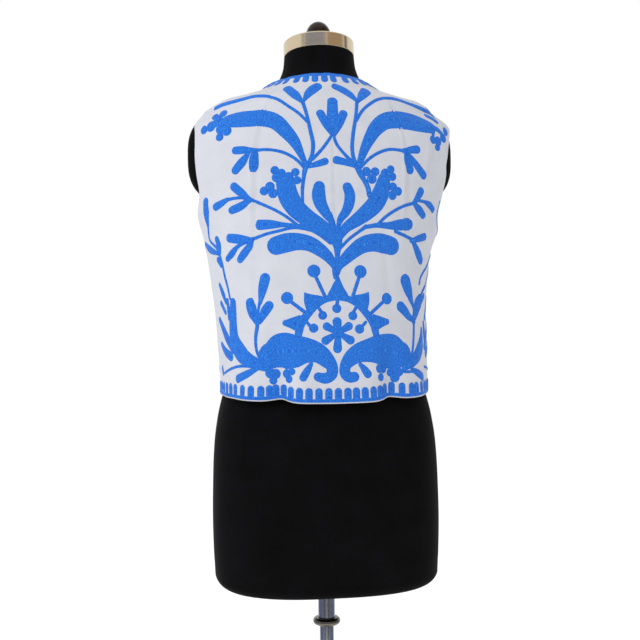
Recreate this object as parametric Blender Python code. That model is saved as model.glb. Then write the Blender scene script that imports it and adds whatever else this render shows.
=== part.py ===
"""A sleeveless hip-length vest on the limbless dress form that carries it.

Metres in the scene, +Z up, floor at z = 0 and the pole on the Z axis. The wearer's front faces -Y and the
wearer's left is +X. Sizes in the tables below are millimetres unless their name says otherwise.
"""

import math

import bmesh
import bpy
from mathutils import Matrix, Vector

MM = 0.001

# Dress form
FORM_BOTTOM = 659.0
FORM_EDGE_ROUND = 20.0
NECK_TOP = 1427.7
NECK_TILT = math.radians(6.0)
NECK_LEAN_FROM_Z = 1395.0
SEAM_GAP = 0.3

# Sections of the form's body, one row for each height, without the arm stubs.
# half_width is along X, back and front are depths from the section's own middle, square is the power of the
# outline (2 is an ellipse), shift moves the middle along Y.
FORM_COLUMNS = ("z", "half_width", "back", "front", "square", "shift")
FORM_SECTIONS = (
    (660.0, 159.5, 120.0, 102.0, 2.45, 0.0),
    (703.0, 163.4, 126.0, 106.0, 2.45, 0.0),
    (756.0, 164.5, 128.5, 108.5, 2.45, 0.0),
    (819.0, 163.3, 127.0, 110.0, 2.45, 0.0),
    (862.0, 161.0, 123.0, 111.0, 2.45, 0.0),
    (900.0, 156.0, 117.0, 110.0, 2.40, 0.0),
    (960.0, 141.0, 98.0, 103.0, 2.35, 0.0),
    (1000.0, 131.0, 84.0, 97.0, 2.30, 0.0),
    (1040.0, 125.0, 78.0, 95.0, 2.30, 0.0),
    (1080.0, 127.0, 81.0, 99.0, 2.30, 0.0),
    (1120.0, 134.0, 87.0, 110.0, 2.30, 0.0),
    (1160.0, 143.0, 94.0, 123.0, 2.30, 0.0),
    (1200.0, 150.0, 100.0, 130.0, 2.30, 0.0),
    (1240.0, 158.0, 105.0, 122.0, 2.30, 0.0),
    (1280.0, 164.0, 103.0, 105.0, 2.30, 0.0),
    (1315.0, 165.5, 96.0, 88.0, 2.30, 0.0),
    (1338.0, 163.5, 88.0, 75.0, 2.25, 0.0),
    (1351.0, 150.0, 82.0, 68.0, 2.20, -1.0),
    (1360.0, 119.0, 78.0, 63.5, 2.15, -3.0),
    (1369.0, 91.0, 73.0, 60.0, 2.10, -4.0),
    (1378.0, 74.0, 67.0, 57.0, 2.05, -5.5),
    (1387.0, 63.5, 61.0, 54.5, 2.00, -7.0),
    (1400.0, 56.5, 55.0, 53.0, 2.00, -8.0),
    (1412.0, 53.0, 52.5, 52.0, 2.00, -9.0),
    (1427.7, 51.4, 51.4, 51.4, 2.00, -10.0),
)

# Rounded arm stubs, one on each side, as one soft block that the body is blended with.
STUB_Z = 1277.0
STUB_REACH = 194.5
STUB_HALF_HEIGHT = 86.0
STUB_HALF_DEPTH = 49.0
STUB_SQUARE = 3.0
STUB_PLAN_SQUARE = 2.6
STUB_BLEND = 9.0

# Vest. The cloth hangs a little to the wearer's left below the shoulders, by SWAY.
WALL = 1.6
REST_CLEARANCE = 1.4
REST_BLEND = 3.0
HEM_Z = 927.0
HEM_SIDE_RISE = 7.0
HEM_FOLD_RISE = 4.0
DEEP_FOLD = -9.0
FOLD_FOOT_Z = 902.0
UNDERARM_Z = 1190.0
SHOULDER_TIP_Z = 1342.0
NECKLINE_Z = 1393.0
BACK_NECK_DROP = 6.0
FRONT_NECK_DROP = 50.0
BACK_NECK_ROUND = 1.0
FRONT_NECK_ROUND = 1.3
NECK_FADE_FROM_Z = 1220.0
HEM_FADE_TO_Z = 1060.0
FRONT_OPENING_TOP = 3.0
FRONT_OPENING_HEM = 8.0
SWAY = 5.5
SWAY_Z = 1110.0
SWAY_HALF_HEIGHT = 110.0

# Sections of the hanging cloth, with the same columns as the form's. Above the shoulder tips the cloth lies
# on the form, so these rows are smaller than it there.
CLOTH_SECTIONS = (
    (915.0, 146.0, 128.0, 138.0, 2.50, 0.0),
    (956.0, 147.0, 126.0, 137.5, 2.50, 0.0),
    (1000.0, 148.0, 124.0, 137.0, 2.50, 0.0),
    (1053.0, 150.0, 121.0, 136.5, 2.45, 0.0),
    (1086.0, 153.0, 118.0, 136.0, 2.45, 0.0),
    (1108.0, 155.5, 116.0, 135.5, 2.45, 0.0),
    (1158.0, 163.5, 112.0, 134.0, 2.45, 0.0),
    (1190.0, 168.5, 109.5, 132.5, 2.45, 0.0),
    (1220.0, 177.0, 107.5, 129.0, 2.40, 0.0),
    (1250.0, 189.0, 105.5, 121.5, 2.35, 0.0),
    (1280.0, 197.0, 102.5, 108.0, 2.30, 0.0),
    (1310.0, 194.0, 96.0, 89.0, 2.30, 0.0),
    (1330.0, 176.0, 86.0, 73.0, 2.20, 0.0),
    (1345.0, 146.0, 72.0, 58.0, 2.20, -1.0),
    (1365.0, 100.0, 60.0, 50.0, 2.10, -3.0),
    (1400.0, 46.0, 45.0, 43.0, 2.00, -8.0),
)

# Soft folds that hang from the yoke to the hem. angle is in degrees round the body from the wearer's left
# side, positive at the back. rise below 0 is a trough.
FOLD_COLUMNS = ("angle", "rise", "half_angle", "top_z")
FOLDS = (
    (56.0, -11.0, 6.5, 1075.0),
    (124.0, -10.0, 6.5, 1080.0),
    (71.0, 4.0, 7.0, 1020.0),
    (108.0, 4.5, 7.0, 1030.0),
    (39.0, 5.0, 8.0, 1060.0),
    (141.0, 4.0, 8.0, 1050.0),
    (-34.0, -7.0, 6.5, 1060.0),
    (-147.0, -8.0, 6.5, 1075.0),
    (-52.0, 4.5, 7.0, 1050.0),
    (-127.0, 4.0, 8.0, 1040.0),
    (-70.0, -3.0, 6.0, 1010.0),
    (-108.0, -4.0, 6.0, 1030.0),
)

# Where the cloth stands away below each armhole.
GAPE_COLUMNS = ("angle", "z", "rise", "half_angle", "half_height")
GAPES = (
    (7.0, 1188.0, 7.0, 13.0, 22.0),
    (174.0, 1168.0, 5.0, 13.0, 18.0),
    (-26.0, 1182.0, 3.0, 11.0, 22.0),
    (-154.0, 1186.0, 3.5, 11.0, 22.0),
)

# Armhole edges: how far round the body from the side seam the cloth is cut back, in degrees.
ARMHOLE_COLUMNS = ("z", "back", "front")
ARMHOLE = (
    (1190.0, 0.0, 0.0),
    (1198.0, 4.5, 6.5),
    (1210.0, 8.0, 12.0),
    (1226.0, 10.8, 16.5),
    (1250.0, 12.8, 20.5),
    (1280.0, 14.3, 23.0),
    (1305.0, 13.0, 21.0),
    (1322.0, 9.6, 16.0),
    (1334.0, 5.4, 9.5),
    (1342.0, 0.0, 0.0),
)

CLOTH_ROWS_Z = (
    927.0, 945.0, 966.0, 990.0, 1015.0, 1041.0, 1067.0, 1093.0, 1118.0, 1143.0, 1167.0, 1190.0,
    1198.0, 1210.0, 1226.0, 1246.0, 1267.0, 1287.0, 1305.0, 1320.0, 1331.0, 1338.0, 1342.0,
    1348.0, 1355.0, 1362.0, 1370.0, 1378.0, 1386.0, 1393.0,
)  # fmt: skip
BACK_COLUMNS = 30
FRONT_COLUMNS = 15
FORM_ROWS_Z = (
    690.0, 735.0, 790.0, 840.0, 880.0, 920.0, 960.0, 1000.0, 1040.0, 1080.0, 1120.0, 1160.0, 1195.0,
    1212.0, 1228.0, 1250.0, 1275.0, 1300.0, 1317.0, 1330.0, 1339.0, 1346.0, 1351.0, 1356.0, 1362.0,
    1369.0, 1377.0, 1386.0, 1398.0, 1412.0, 1427.7,
)  # fmt: skip
FORM_SEGMENTS = 40
SIDE_CROWDING = 0.62

# Metal parts
NECK_CAP_RADIUS = 52.0
NECK_CAP_HEIGHT = 21.5
NECK_CAP_ROUND = 3.0
FINIAL_FOOT_RADIUS = 15.0
FINIAL_RADIUS = 18.5
FINIAL_WIDEST = 11.0
FINIAL_HEIGHT = 32.5
POLE_RADIUS = 10.5
POLE_BORE = 9.2
POLE_TOP = 780.0
SLEEVE_RADIUS = 12.5
SLEEVE_BORE = 11.1
SLEEVE_TOP = 990.0
COLLAR_RADIUS = 20.0
COLLAR_BORE = 11.1
COLLAR_TOP = 604.0
COLLAR_HEIGHT = 10.0
COLLAR_ROUND = 4.5
BASE_RADIUS = 170.0
BASE_EDGE_ROUND = 4.0
BASE_EDGE = 9.0
BASE_TOP = 15.0
HUB_RADIUS = 29.7
HUB_TOP_RADIUS = 19.0
HUB_HEIGHT = 34.0
HUB_ROUND = 4.0
HUB_FOOT = 6.0
HUB_WAIST = 16.0
ROUND_SEGMENTS = 28
WIDE_SEGMENTS = 44


def read_column(table, columns, name, z):
    """Read one column of a table at height z, along a curve that never overshoots its rows."""
    heights = [row[0] for row in table]
    values = [row[columns.index(name)] for row in table]
    z = min(max(z, heights[0]), heights[-1])
    last = len(heights) - 2
    i = next((k for k in range(last + 1) if z <= heights[k + 1]), last)
    slopes = [(values[k + 1] - values[k]) / (heights[k + 1] - heights[k]) for k in range(last + 1)]

    def tangent(k):
        if k == 0 or k == last + 1:
            return slopes[min(k, last)]
        before, after = slopes[k - 1], slopes[k]
        return 0.0 if before * after <= 0 else 2 * before * after / (before + after)

    step = heights[i + 1] - heights[i]
    t = (z - heights[i]) / step
    return (
        values[i] * (1 + 2 * t) * (1 - t) ** 2
        + values[i + 1] * t * t * (3 - 2 * t)
        + step * tangent(i) * t * (1 - t) ** 2
        - step * tangent(i + 1) * t * t * (1 - t)
    )


def bell(distance, half_width):
    """1 at the middle of a fold, falling softly to 0 on both sides."""
    return math.exp(-((distance / half_width) ** 2))


def soft_max(a, b, blend):
    """The larger of two sizes, rounded off where they meet."""
    h = max(blend - abs(a - b), 0.0) / blend
    return max(a, b) + h * h * blend / 4


def smooth_step(low, high, value):
    t = min(max((value - low) / (high - low), 0.0), 1.0)
    return t * t * (3 - 2 * t)


def outline_radius(angle, half_width, depth, square):
    """Distance from the middle of a rounded outline to its edge at an angle round the body."""
    across = (abs(math.cos(angle)) / half_width) ** square
    along = (abs(math.sin(angle)) / depth) ** square
    return (across + along) ** (-1 / square)


def section_radius(sections, angle, z):
    depth = "back" if math.sin(angle) > 0 else "front"
    width, depth, square = (
        read_column(sections, FORM_COLUMNS, name, z) for name in ("half_width", depth, "square")
    )
    return outline_radius(angle, width, depth, square)


def stub_radius(angle, z):
    lift = abs(z - STUB_Z) / STUB_HALF_HEIGHT
    if lift >= 1:
        return 0.0
    swell = (1 - lift**STUB_SQUARE) ** (1 / STUB_SQUARE)
    return swell * outline_radius(angle, STUB_REACH, STUB_HALF_DEPTH, STUB_PLAN_SQUARE)


def form_radius(angle, z):
    return soft_max(section_radius(FORM_SECTIONS, angle, z), stub_radius(angle, z), STUB_BLEND)


def point_at(angle, z, radius):
    """A point of a section, moved with its middle. The neck's sections lean with its cap."""
    y = radius * math.sin(angle)
    lean = math.tan(NECK_TILT) * smooth_step(NECK_LEAN_FROM_Z, NECK_TOP, z)
    shift = read_column(FORM_SECTIONS, FORM_COLUMNS, "shift", z)
    return Vector((radius * math.cos(angle), y + shift, z + y * lean))


def cloth_radius(angle, z):
    """The inside of the cloth: it hangs on its own sections and lies on the form where that is larger."""
    degrees = math.degrees(angle)
    hang = section_radius(CLOTH_SECTIONS, angle, z)
    hang += SWAY * math.cos(angle) * bell(z - SWAY_Z, SWAY_HALF_HEIGHT)
    for fold in FOLDS:
        row = dict(zip(FOLD_COLUMNS, fold))
        fade = 1 - smooth_step(FOLD_FOOT_Z, row["top_z"], z)
        hang += row["rise"] * fade * bell(degrees - row["angle"], row["half_angle"])
    for gape in GAPES:
        row = dict(zip(GAPE_COLUMNS, gape))
        near = bell(degrees - row["angle"], row["half_angle"])
        hang += row["rise"] * near * bell(z - row["z"], row["half_height"])
    return soft_max(form_radius(angle, z), hang, REST_BLEND)


def cloth_point(angle, z, lift):
    """A point of the cloth, lift millimetres out from where it touches the form."""
    step_angle, step_z = 0.004, 0.6
    base = point_at(angle, z, cloth_radius(angle, z))
    round_body = point_at(angle + step_angle, z, cloth_radius(angle + step_angle, z)) - point_at(
        angle - step_angle, z, cloth_radius(angle - step_angle, z)
    )
    up_body = point_at(angle, z + step_z, cloth_radius(angle, z + step_z)) - point_at(
        angle, z - step_z, cloth_radius(angle, z - step_z)
    )
    return base + round_body.cross(up_body).normalized() * lift


def row_height(angle, z):
    """Where a row of the cloth lies at an angle: the hem and the neckline have their own curves."""
    degrees = math.degrees(angle)
    side = math.cos(angle) ** 2
    deep = (fold for fold in FOLDS if fold[FOLD_COLUMNS.index("rise")] < DEEP_FOLD)
    folds = sum(bell(degrees - at, half_angle) for at, _, half_angle, _ in deep)
    hem = (HEM_SIDE_RISE * side + HEM_FOLD_RISE * folds) * (1 - smooth_step(HEM_Z, HEM_FADE_TO_Z, z))
    at_back = math.sin(angle) > 0
    drop = BACK_NECK_DROP if at_back else FRONT_NECK_DROP
    power = BACK_NECK_ROUND if at_back else FRONT_NECK_ROUND
    share = max(z - NECK_FADE_FROM_Z, 0.0) / (NECKLINE_Z - NECK_FADE_FROM_Z)
    return z + hem - drop * abs(math.sin(angle)) ** power * share


def crowded_angle(phase):
    """Spread the columns evenly along the broad back and closer together at the shoulders."""
    return math.atan2(SIDE_CROWDING * math.sin(phase), math.cos(phase))


def edge_angle(side, z):
    """Angle of the cloth's edge at the side seam, the armhole or the shoulder seam."""
    seam = SEAM_GAP / 2 / cloth_radius(0.0, z)
    if UNDERARM_Z < z < SHOULDER_TIP_Z:
        return max(seam, math.radians(read_column(ARMHOLE, ARMHOLE_COLUMNS, side, z)))
    return seam


def panel_angles(side, z, columns):
    """Angles of one row of a panel, from the wearer's left seam to its other edge."""
    first = edge_angle(side, z)
    last = math.pi - first
    if side == "front":
        share = (z - HEM_Z) / (NECKLINE_Z - HEM_Z)
        opening = FRONT_OPENING_HEM + (FRONT_OPENING_TOP - FRONT_OPENING_HEM) * share
        last = math.acos(opening / cloth_radius(-math.pi / 2, row_height(-math.pi / 2, z)))
    low, high = (math.atan2(math.sin(a), SIDE_CROWDING * math.cos(a)) for a in (first, last))
    return [crowded_angle(low + (high - low) * i / columns) for i in range(columns + 1)]


def panel_mesh(side, columns, turn):
    """A wall of cloth: a grid of points inside, the same grid outside, and a rim that joins them."""
    bm = bmesh.new()
    grids = []
    for lift in (REST_CLEARANCE, REST_CLEARANCE + WALL):
        grid = []
        for z in CLOTH_ROWS_Z:
            angles = [turn(angle) for angle in panel_angles(side, z, columns)]
            grid.append([bm.verts.new(cloth_point(a, row_height(a, z), lift) * MM) for a in angles])
        grids.append(grid)
    rows = len(CLOTH_ROWS_Z)
    inner, outer = grids
    for grid in grids:
        for r in range(rows - 1):
            for c in range(columns):
                bm.faces.new((grid[r][c], grid[r][c + 1], grid[r + 1][c + 1], grid[r + 1][c]))
    rim = [(0, c) for c in range(columns)]
    rim += [(r, columns) for r in range(rows - 1)]
    rim += [(rows - 1, c) for c in range(columns, 0, -1)]
    rim += [(r, 0) for r in range(rows - 1, 0, -1)]
    for (r, c), (s, d) in zip(rim, rim[1:] + rim[:1]):
        bm.faces.new((inner[r][c], inner[s][d], outer[s][d], outer[r][c]))
    return bm


def rings_mesh(rings, closed_loop=False):
    """Join rings of equally many points. The ends are closed with fans, or the last ring meets the first."""
    bm = bmesh.new()
    loops = [[bm.verts.new(point) for point in ring] for ring in rings]
    count = len(rings[0])
    pairs = list(zip(loops, loops[1:])) + ([(loops[-1], loops[0])] if closed_loop else [])
    for low, high in pairs:
        for i in range(count):
            j = (i + 1) % count
            bm.faces.new((low[i], low[j], high[j], high[i]))
    if not closed_loop:
        for loop in (loops[0], loops[-1]):
            middle = bm.verts.new(sum((vert.co for vert in loop), Vector()) / count)
            for i in range(count):
                bm.faces.new((middle, loop[i], loop[(i + 1) % count]))
    return bm


def circle(radius, z, segments):
    turns = (2 * math.pi * i / segments for i in range(segments))
    return [Vector((radius * math.cos(t), radius * math.sin(t), z)) * MM for t in turns]


def turned_mesh(profile, segments=ROUND_SEGMENTS, tube=True):
    """Turn a profile of (radius, z) points round the Z axis. A tube's profile goes round its whole wall."""
    return rings_mesh([circle(radius, z, segments) for radius, z in profile], closed_loop=tube)


def arc_points(centre, radius, start, end, count):
    """Points of an arc in a profile, from one angle in degrees to another."""
    for i in range(count + 1):
        angle = math.radians(start + (end - start) * i / count)
        yield centre[0] + radius * math.cos(angle), centre[1] + radius * math.sin(angle)


def form_mesh():
    """The whole covered form, from the blind bore for the sleeve to the top of the neck."""
    angles = [crowded_angle(2 * math.pi * i / FORM_SEGMENTS) for i in range(FORM_SEGMENTS)]
    foot = FORM_ROWS_Z[0]

    def ring(z, inset=0.0, section_z=None):
        section_z = section_z or z
        lift = Vector((0.0, 0.0, z - section_z))
        radii = [form_radius(angle, section_z) - inset for angle in angles]
        return [(point_at(angle, section_z, r) + lift) * MM for angle, r in zip(angles, radii)]

    bore = SLEEVE_RADIUS + SEAM_GAP
    bore_rings = [
        [Vector((bore * math.cos(angle), bore * math.sin(angle), z)) * MM for angle in angles]
        for z in (SLEEVE_TOP + SEAM_GAP, FORM_BOTTOM)
    ]
    rounded = [
        ring(FORM_BOTTOM + FORM_EDGE_ROUND + z, FORM_EDGE_ROUND - x, foot)
        for x, z in arc_points((0.0, 0.0), FORM_EDGE_ROUND, -90, -15, 4)
    ]
    return rings_mesh(bore_rings + rounded + [ring(z) for z in FORM_ROWS_Z])


def neck_cap_mesh():
    corner = (NECK_CAP_RADIUS - NECK_CAP_ROUND, NECK_CAP_HEIGHT - NECK_CAP_ROUND)
    profile = [(NECK_CAP_RADIUS, 0.0), *arc_points(corner, NECK_CAP_ROUND, 0, 90, 3)]
    return turned_mesh(profile, WIDE_SEGMENTS, tube=False)


def finial_mesh():
    dome = [
        (FINIAL_RADIUS * x, FINIAL_WIDEST + (FINIAL_HEIGHT - FINIAL_WIDEST) * y)
        for x, y in arc_points((0.0, 0.0), 1.0, 0, 84, 6)
    ]
    return turned_mesh([(FINIAL_FOOT_RADIUS, 0.0), *dome], tube=False)


def tube_mesh(outer, inner, bottom, top):
    return turned_mesh([(inner, bottom), (outer, bottom), (outer, top), (inner, top)])


def collar_mesh():
    low = COLLAR_TOP - COLLAR_HEIGHT
    middle = (COLLAR_RADIUS - COLLAR_ROUND, low + COLLAR_HEIGHT / 2)
    rounded = [
        (x, middle[1] + (z - middle[1]) * COLLAR_HEIGHT / 2 / COLLAR_ROUND)
        for x, z in arc_points(middle, COLLAR_ROUND, -90, 90, 8)
    ]
    return turned_mesh([(COLLAR_BORE, low), *rounded, (COLLAR_BORE, COLLAR_TOP)])


def base_mesh():
    edge = (BASE_RADIUS - BASE_EDGE_ROUND, BASE_EDGE - BASE_EDGE_ROUND)
    crown = []
    for k in (1, 2, 3):
        inward = (edge[0] - HUB_RADIUS) * k / 3
        crown.append((edge[0] - inward, BASE_EDGE + (BASE_TOP - BASE_EDGE) * math.sin(math.pi * k / 6)))
    profile = [(BASE_RADIUS, 0.0), *arc_points(edge, BASE_EDGE_ROUND, 0, 90, 3), *crown]
    return turned_mesh(profile, WIDE_SEGMENTS, tube=False)


def hub_mesh():
    bore = POLE_RADIUS + SEAM_GAP
    foot = BASE_TOP + SEAM_GAP
    top = foot + HUB_HEIGHT
    corner = (HUB_TOP_RADIUS - HUB_ROUND, top - HUB_ROUND)
    side = [(HUB_RADIUS, foot), (HUB_RADIUS, foot + HUB_FOOT), (HUB_TOP_RADIUS, foot + HUB_WAIST)]
    return turned_mesh([(bore, foot), *side, *arc_points(corner, HUB_ROUND, 0, 90, 3), (bore, top)])


def make_material(name, colour, roughness, metallic=0.0):
    material = bpy.data.materials.new(name)
    material.use_nodes = True
    shader = material.node_tree.nodes["Principled BSDF"]
    shader.inputs["Base Color"].default_value = (*colour, 1.0)
    shader.inputs["Roughness"].default_value = roughness
    shader.inputs["Metallic"].default_value = metallic
    material.diffuse_color = (*colour, 1.0)
    return material


def make_empty(name, z, parent=None):
    """A named point on the pole's axis that carries the pieces which move together."""
    empty = bpy.data.objects.new(name, None)
    empty.empty_display_size = 0.05
    empty.parent = parent
    empty.location.z = z * MM - (parent.matrix_world.translation.z if parent else 0.0)
    bpy.context.collection.objects.link(empty)
    bpy.context.view_layer.update()
    return empty


def make_object(name, bm, material, parent, tilt=0.0, seat=None):
    """Turn a finished mesh into an object. A seat is where a piece made round its own axis stands."""
    bmesh.ops.recalc_face_normals(bm, faces=bm.faces)
    if seat is None:
        bmesh.ops.translate(bm, vec=-parent.matrix_world.translation, verts=bm.verts)
    mesh = bpy.data.meshes.new(name)
    bm.to_mesh(mesh)
    bm.free()
    mesh.shade_smooth()
    mesh.set_sharp_from_angle(angle=math.radians(40))
    mesh.materials.append(material)
    piece = bpy.data.objects.new(name, mesh)
    piece.parent = parent
    if seat is not None:
        piece.location = seat * MM - parent.matrix_world.translation
        piece.rotation_euler.x = tilt
    bpy.context.collection.objects.link(piece)
    return piece


def clear_scene():
    for thing in list(bpy.data.objects):
        bpy.data.objects.remove(thing, do_unlink=True)


def build():
    clear_scene()
    cotton = make_material("white_cotton", (0.62, 0.64, 0.70), 0.85)
    jersey = make_material("black_jersey", (0.006, 0.006, 0.008), 0.75)
    brass = make_material("polished_brass", (0.74, 0.62, 0.42), 0.2, 1.0)
    lacquer = make_material("brown_lacquer", (0.02, 0.012, 0.01), 0.2)
    chrome = make_material("chromed_steel", (0.42, 0.43, 0.50), 0.15, 1.0)
    enamel = make_material("black_enamel", (0.02, 0.02, 0.022), 0.35)

    stand = make_empty("stand_axis", 0.0)
    collar = make_empty("collar_axis", COLLAR_TOP, stand)
    form = make_empty("form_axis", COLLAR_TOP, collar)

    make_object("base_plate", base_mesh(), enamel, stand)
    make_object("base_hub", hub_mesh(), chrome, stand)
    pole = tube_mesh(POLE_RADIUS, POLE_BORE, BASE_TOP + SEAM_GAP, POLE_TOP)
    make_object("stand_pole", pole, chrome, stand)
    make_object("height_collar", collar_mesh(), chrome, collar)
    sleeve = tube_mesh(SLEEVE_RADIUS, SLEEVE_BORE, COLLAR_TOP + SEAM_GAP, SLEEVE_TOP)
    make_object("pole_sleeve", sleeve, chrome, form)
    make_object("form_torso", form_mesh(), jersey, form)

    neck_shift = read_column(FORM_SECTIONS, FORM_COLUMNS, "shift", NECK_TOP)
    up_neck = Vector((0.0, -math.sin(NECK_TILT), math.cos(NECK_TILT)))
    cap_seat = Vector((0.0, neck_shift, NECK_TOP)) + up_neck * SEAM_GAP
    finial_seat = cap_seat + up_neck * (NECK_CAP_HEIGHT + SEAM_GAP)
    make_object("neck_cap", neck_cap_mesh(), brass, form, NECK_TILT, cap_seat)
    make_object("cap_finial", finial_mesh(), lacquer, form, NECK_TILT, finial_seat)

    make_object("vest_back", panel_mesh("back", BACK_COLUMNS, lambda a: a), cotton, form)
    make_object("vest_front_left", panel_mesh("front", FRONT_COLUMNS, lambda a: -a), cotton, form)
    make_object("vest_front_right", panel_mesh("front", FRONT_COLUMNS, lambda a: a - math.pi), cotton, form)


build()
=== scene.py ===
# %% [markdown]
# # A suzani vest on its dress form
# The object is a short sleeveless vest of white cotton, covered in blue chain-stitch flowers and leaves.
# It hangs on a black jersey-covered form with rounded arm stubs, a brass-tinted neck cap and a chromed
# stand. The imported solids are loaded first, and the pieces below keep their sizes and places. Each step
# makes one finish or one kind of piece.

# %% Load the frame
import math

import bpy
import numpy as np
from mathutils import Matrix, Vector


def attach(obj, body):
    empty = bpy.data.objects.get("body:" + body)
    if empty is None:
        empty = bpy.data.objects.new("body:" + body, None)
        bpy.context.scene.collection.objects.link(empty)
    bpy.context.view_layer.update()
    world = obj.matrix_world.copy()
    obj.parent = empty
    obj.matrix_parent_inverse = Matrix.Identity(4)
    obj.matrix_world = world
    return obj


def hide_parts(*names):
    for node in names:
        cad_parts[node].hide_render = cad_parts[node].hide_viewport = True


MM = 0.001
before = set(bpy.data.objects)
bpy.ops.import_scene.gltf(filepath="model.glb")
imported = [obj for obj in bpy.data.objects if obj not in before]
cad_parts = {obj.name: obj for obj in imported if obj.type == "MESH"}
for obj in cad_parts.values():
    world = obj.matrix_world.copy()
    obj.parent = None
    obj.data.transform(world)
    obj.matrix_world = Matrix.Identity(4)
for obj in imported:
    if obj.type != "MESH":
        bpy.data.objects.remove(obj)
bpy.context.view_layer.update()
print("solids:", ", ".join(sorted(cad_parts)))

# %% [markdown]
# ## Camera
# The photograph shows the back, seen level and from a little to one side. A camera can be aimed with a
# constraint or by its matrix. The matrix is used here because it also holds the small roll of the
# picture.

# %% Camera
CAMERA_AZIMUTH = math.radians(172.0)
CAMERA_DISTANCE = 1.5
CAMERA_HEIGHT = 1.04
CAMERA_SIDE = -0.0045
CAMERA_ROLL = math.radians(-0.7)
CAMERA_LENS = 57.4

forward = Vector((-math.sin(CAMERA_AZIMUTH), math.cos(CAMERA_AZIMUTH), 0.0))
sideways = forward.cross(Vector((0.0, 0.0, 1.0)))
place = Vector((0.0, 0.0, CAMERA_HEIGHT)) - forward * CAMERA_DISTANCE + sideways * CAMERA_SIDE
axes = Matrix((sideways, Vector((0.0, 0.0, 1.0)), -forward)).transposed().to_4x4()

camera = bpy.data.objects.new("camera", bpy.data.cameras.new("camera"))
camera.data.lens = CAMERA_LENS
camera.data.clip_end = 50.0
bpy.context.scene.collection.objects.link(camera)
camera.matrix_world = Matrix.Translation(place) @ axes @ Matrix.Rotation(CAMERA_ROLL, 4, "Z")
bpy.context.scene.camera = camera
print("camera at", [round(value, 3) for value in place])

# %% [markdown]
# ## Colours and nodes
# Colours are written as sRGB hex values, as a colour picker shows them, but shaders count in linear
# light. One function turns the first into the second. A second small function adds any node with its
# settings and its links, so that each material below reads as a short list.


# %% Helpers for materials
def linear(hex_colour):
    """Turn an sRGB hex colour into the linear values that a shader takes."""
    values = [int(hex_colour[i : i + 2], 16) / 255 for i in (1, 3, 5)]
    return tuple(v / 12.92 if v <= 0.04045 else ((v + 0.055) / 1.055) ** 2.4 for v in values)


def add_node(tree, kind, settings=None, links=None):
    """Add one node. Settings give its properties, inputs or stops; links join inputs to sockets."""
    node = tree.nodes.new(kind)
    for name, value in (settings or {}).items():
        if name == "stops":
            for i, (position, colour) in enumerate(value):
                stop = node.color_ramp.elements[i] if i < 2 else node.color_ramp.elements.new(position)
                stop.position, stop.color = position, (*linear(colour), 1.0)
        elif isinstance(name, str) and hasattr(node, name):
            setattr(node, name, value)
        else:
            node.inputs[name].default_value = value
    for name, socket in (links or {}).items():
        tree.links.new(socket, node.inputs[name])
    return node


def new_material(name, **settings):
    """A material whose shader takes these settings. A name's underscores stand for spaces."""
    material = bpy.data.materials.new(name)
    material.use_nodes = True
    shader = material.node_tree.nodes["Principled BSDF"]
    for key, value in settings.items():
        shader.inputs[key.replace("_", " ")].default_value = value
    return material, material.node_tree, shader


print("middle grey in linear light:", [round(v, 3) for v in linear("#808080")])

# %% [markdown]
# ## Plain-woven cotton
# The cloth is a light plain weave: warp and weft cross one over one, which gives an even, matt surface
# with a soft edge glow. The real threads are about 0.4 mm apart, too fine to show from here, so they are
# drawn 1.1 mm apart. The weave could be an image, but two crossed wave textures stay sharp at any
# distance. Slow noise adds the faint unevenness of washed cotton, and a finer one the puckers that
# stitching leaves in it.

# %% Cotton
THREAD_SPACING = 1.1
# A wave texture at scale 1 has one band in this length.
WAVE_PERIOD = 0.314

cotton, tree, shader = new_material("plain_woven_cotton", Roughness=0.88, Specular_IOR_Level=0.3)
shader.inputs["Sheen Weight"].default_value = 0.1
shader.inputs["Sheen Roughness"].default_value = 0.5
sewing_map = add_node(tree, "ShaderNodeUVMap", {"uv_map": "sewing"}).outputs["UV"]
threads = []
for direction in ("X", "Y"):
    bands = {"bands_direction": direction, "Scale": WAVE_PERIOD / THREAD_SPACING, "Distortion": 0.3}
    threads.append(add_node(tree, "ShaderNodeTexWave", bands, {"Vector": sewing_map}).outputs["Fac"])
crossing = add_node(tree, "ShaderNodeMath", {"operation": "MULTIPLY"}, {0: threads[0], 1: threads[1]})
puckers = add_node(tree, "ShaderNodeTexNoise", {"Scale": 0.12, "Detail": 3.0}, {"Vector": sewing_map})
washed = add_node(tree, "ShaderNodeTexNoise", {"Scale": 0.03, "Detail": 3.0}, {"Vector": sewing_map})
cloth_tone = add_node(
    tree,
    "ShaderNodeValToRGB",
    {"stops": [(0.3, "#C1C3CB"), (0.7, "#C7C9D0")]},
    {"Fac": washed.outputs["Fac"]},
)
# Painted shade: the cloth is coloured a little darker where the weave dips between threads, from the same
# height as its bump.
weave_dip_shade = add_node(
    tree,
    "ShaderNodeValToRGB",
    {"stops": [(0.0, "#EDEDEF"), (0.5, "#FFFFFF")]},
    {"Fac": crossing.outputs["Value"]},
)
cloth_colour = add_node(
    tree,
    "ShaderNodeMix",
    {"data_type": "RGBA", "blend_type": "MULTIPLY", "Factor": 1.0},
    {6: cloth_tone.outputs["Color"], 7: weave_dip_shade.outputs["Color"]},
)
tree.links.new(cloth_colour.outputs[2], shader.inputs["Base Color"])
pucker_bump = add_node(
    tree, "ShaderNodeBump", {"Strength": 0.35, "Distance": 0.8 * MM}, {"Height": puckers.outputs["Fac"]}
)
thread_bump = add_node(
    tree,
    "ShaderNodeBump",
    {"Strength": 0.5, "Distance": 0.12 * MM},
    {"Height": crossing.outputs["Value"], "Normal": pucker_bump.outputs["Normal"]},
)
tree.links.new(thread_bump.outputs["Normal"], shader.inputs["Normal"])
print("cotton threads drawn", THREAD_SPACING, "mm apart")
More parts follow.
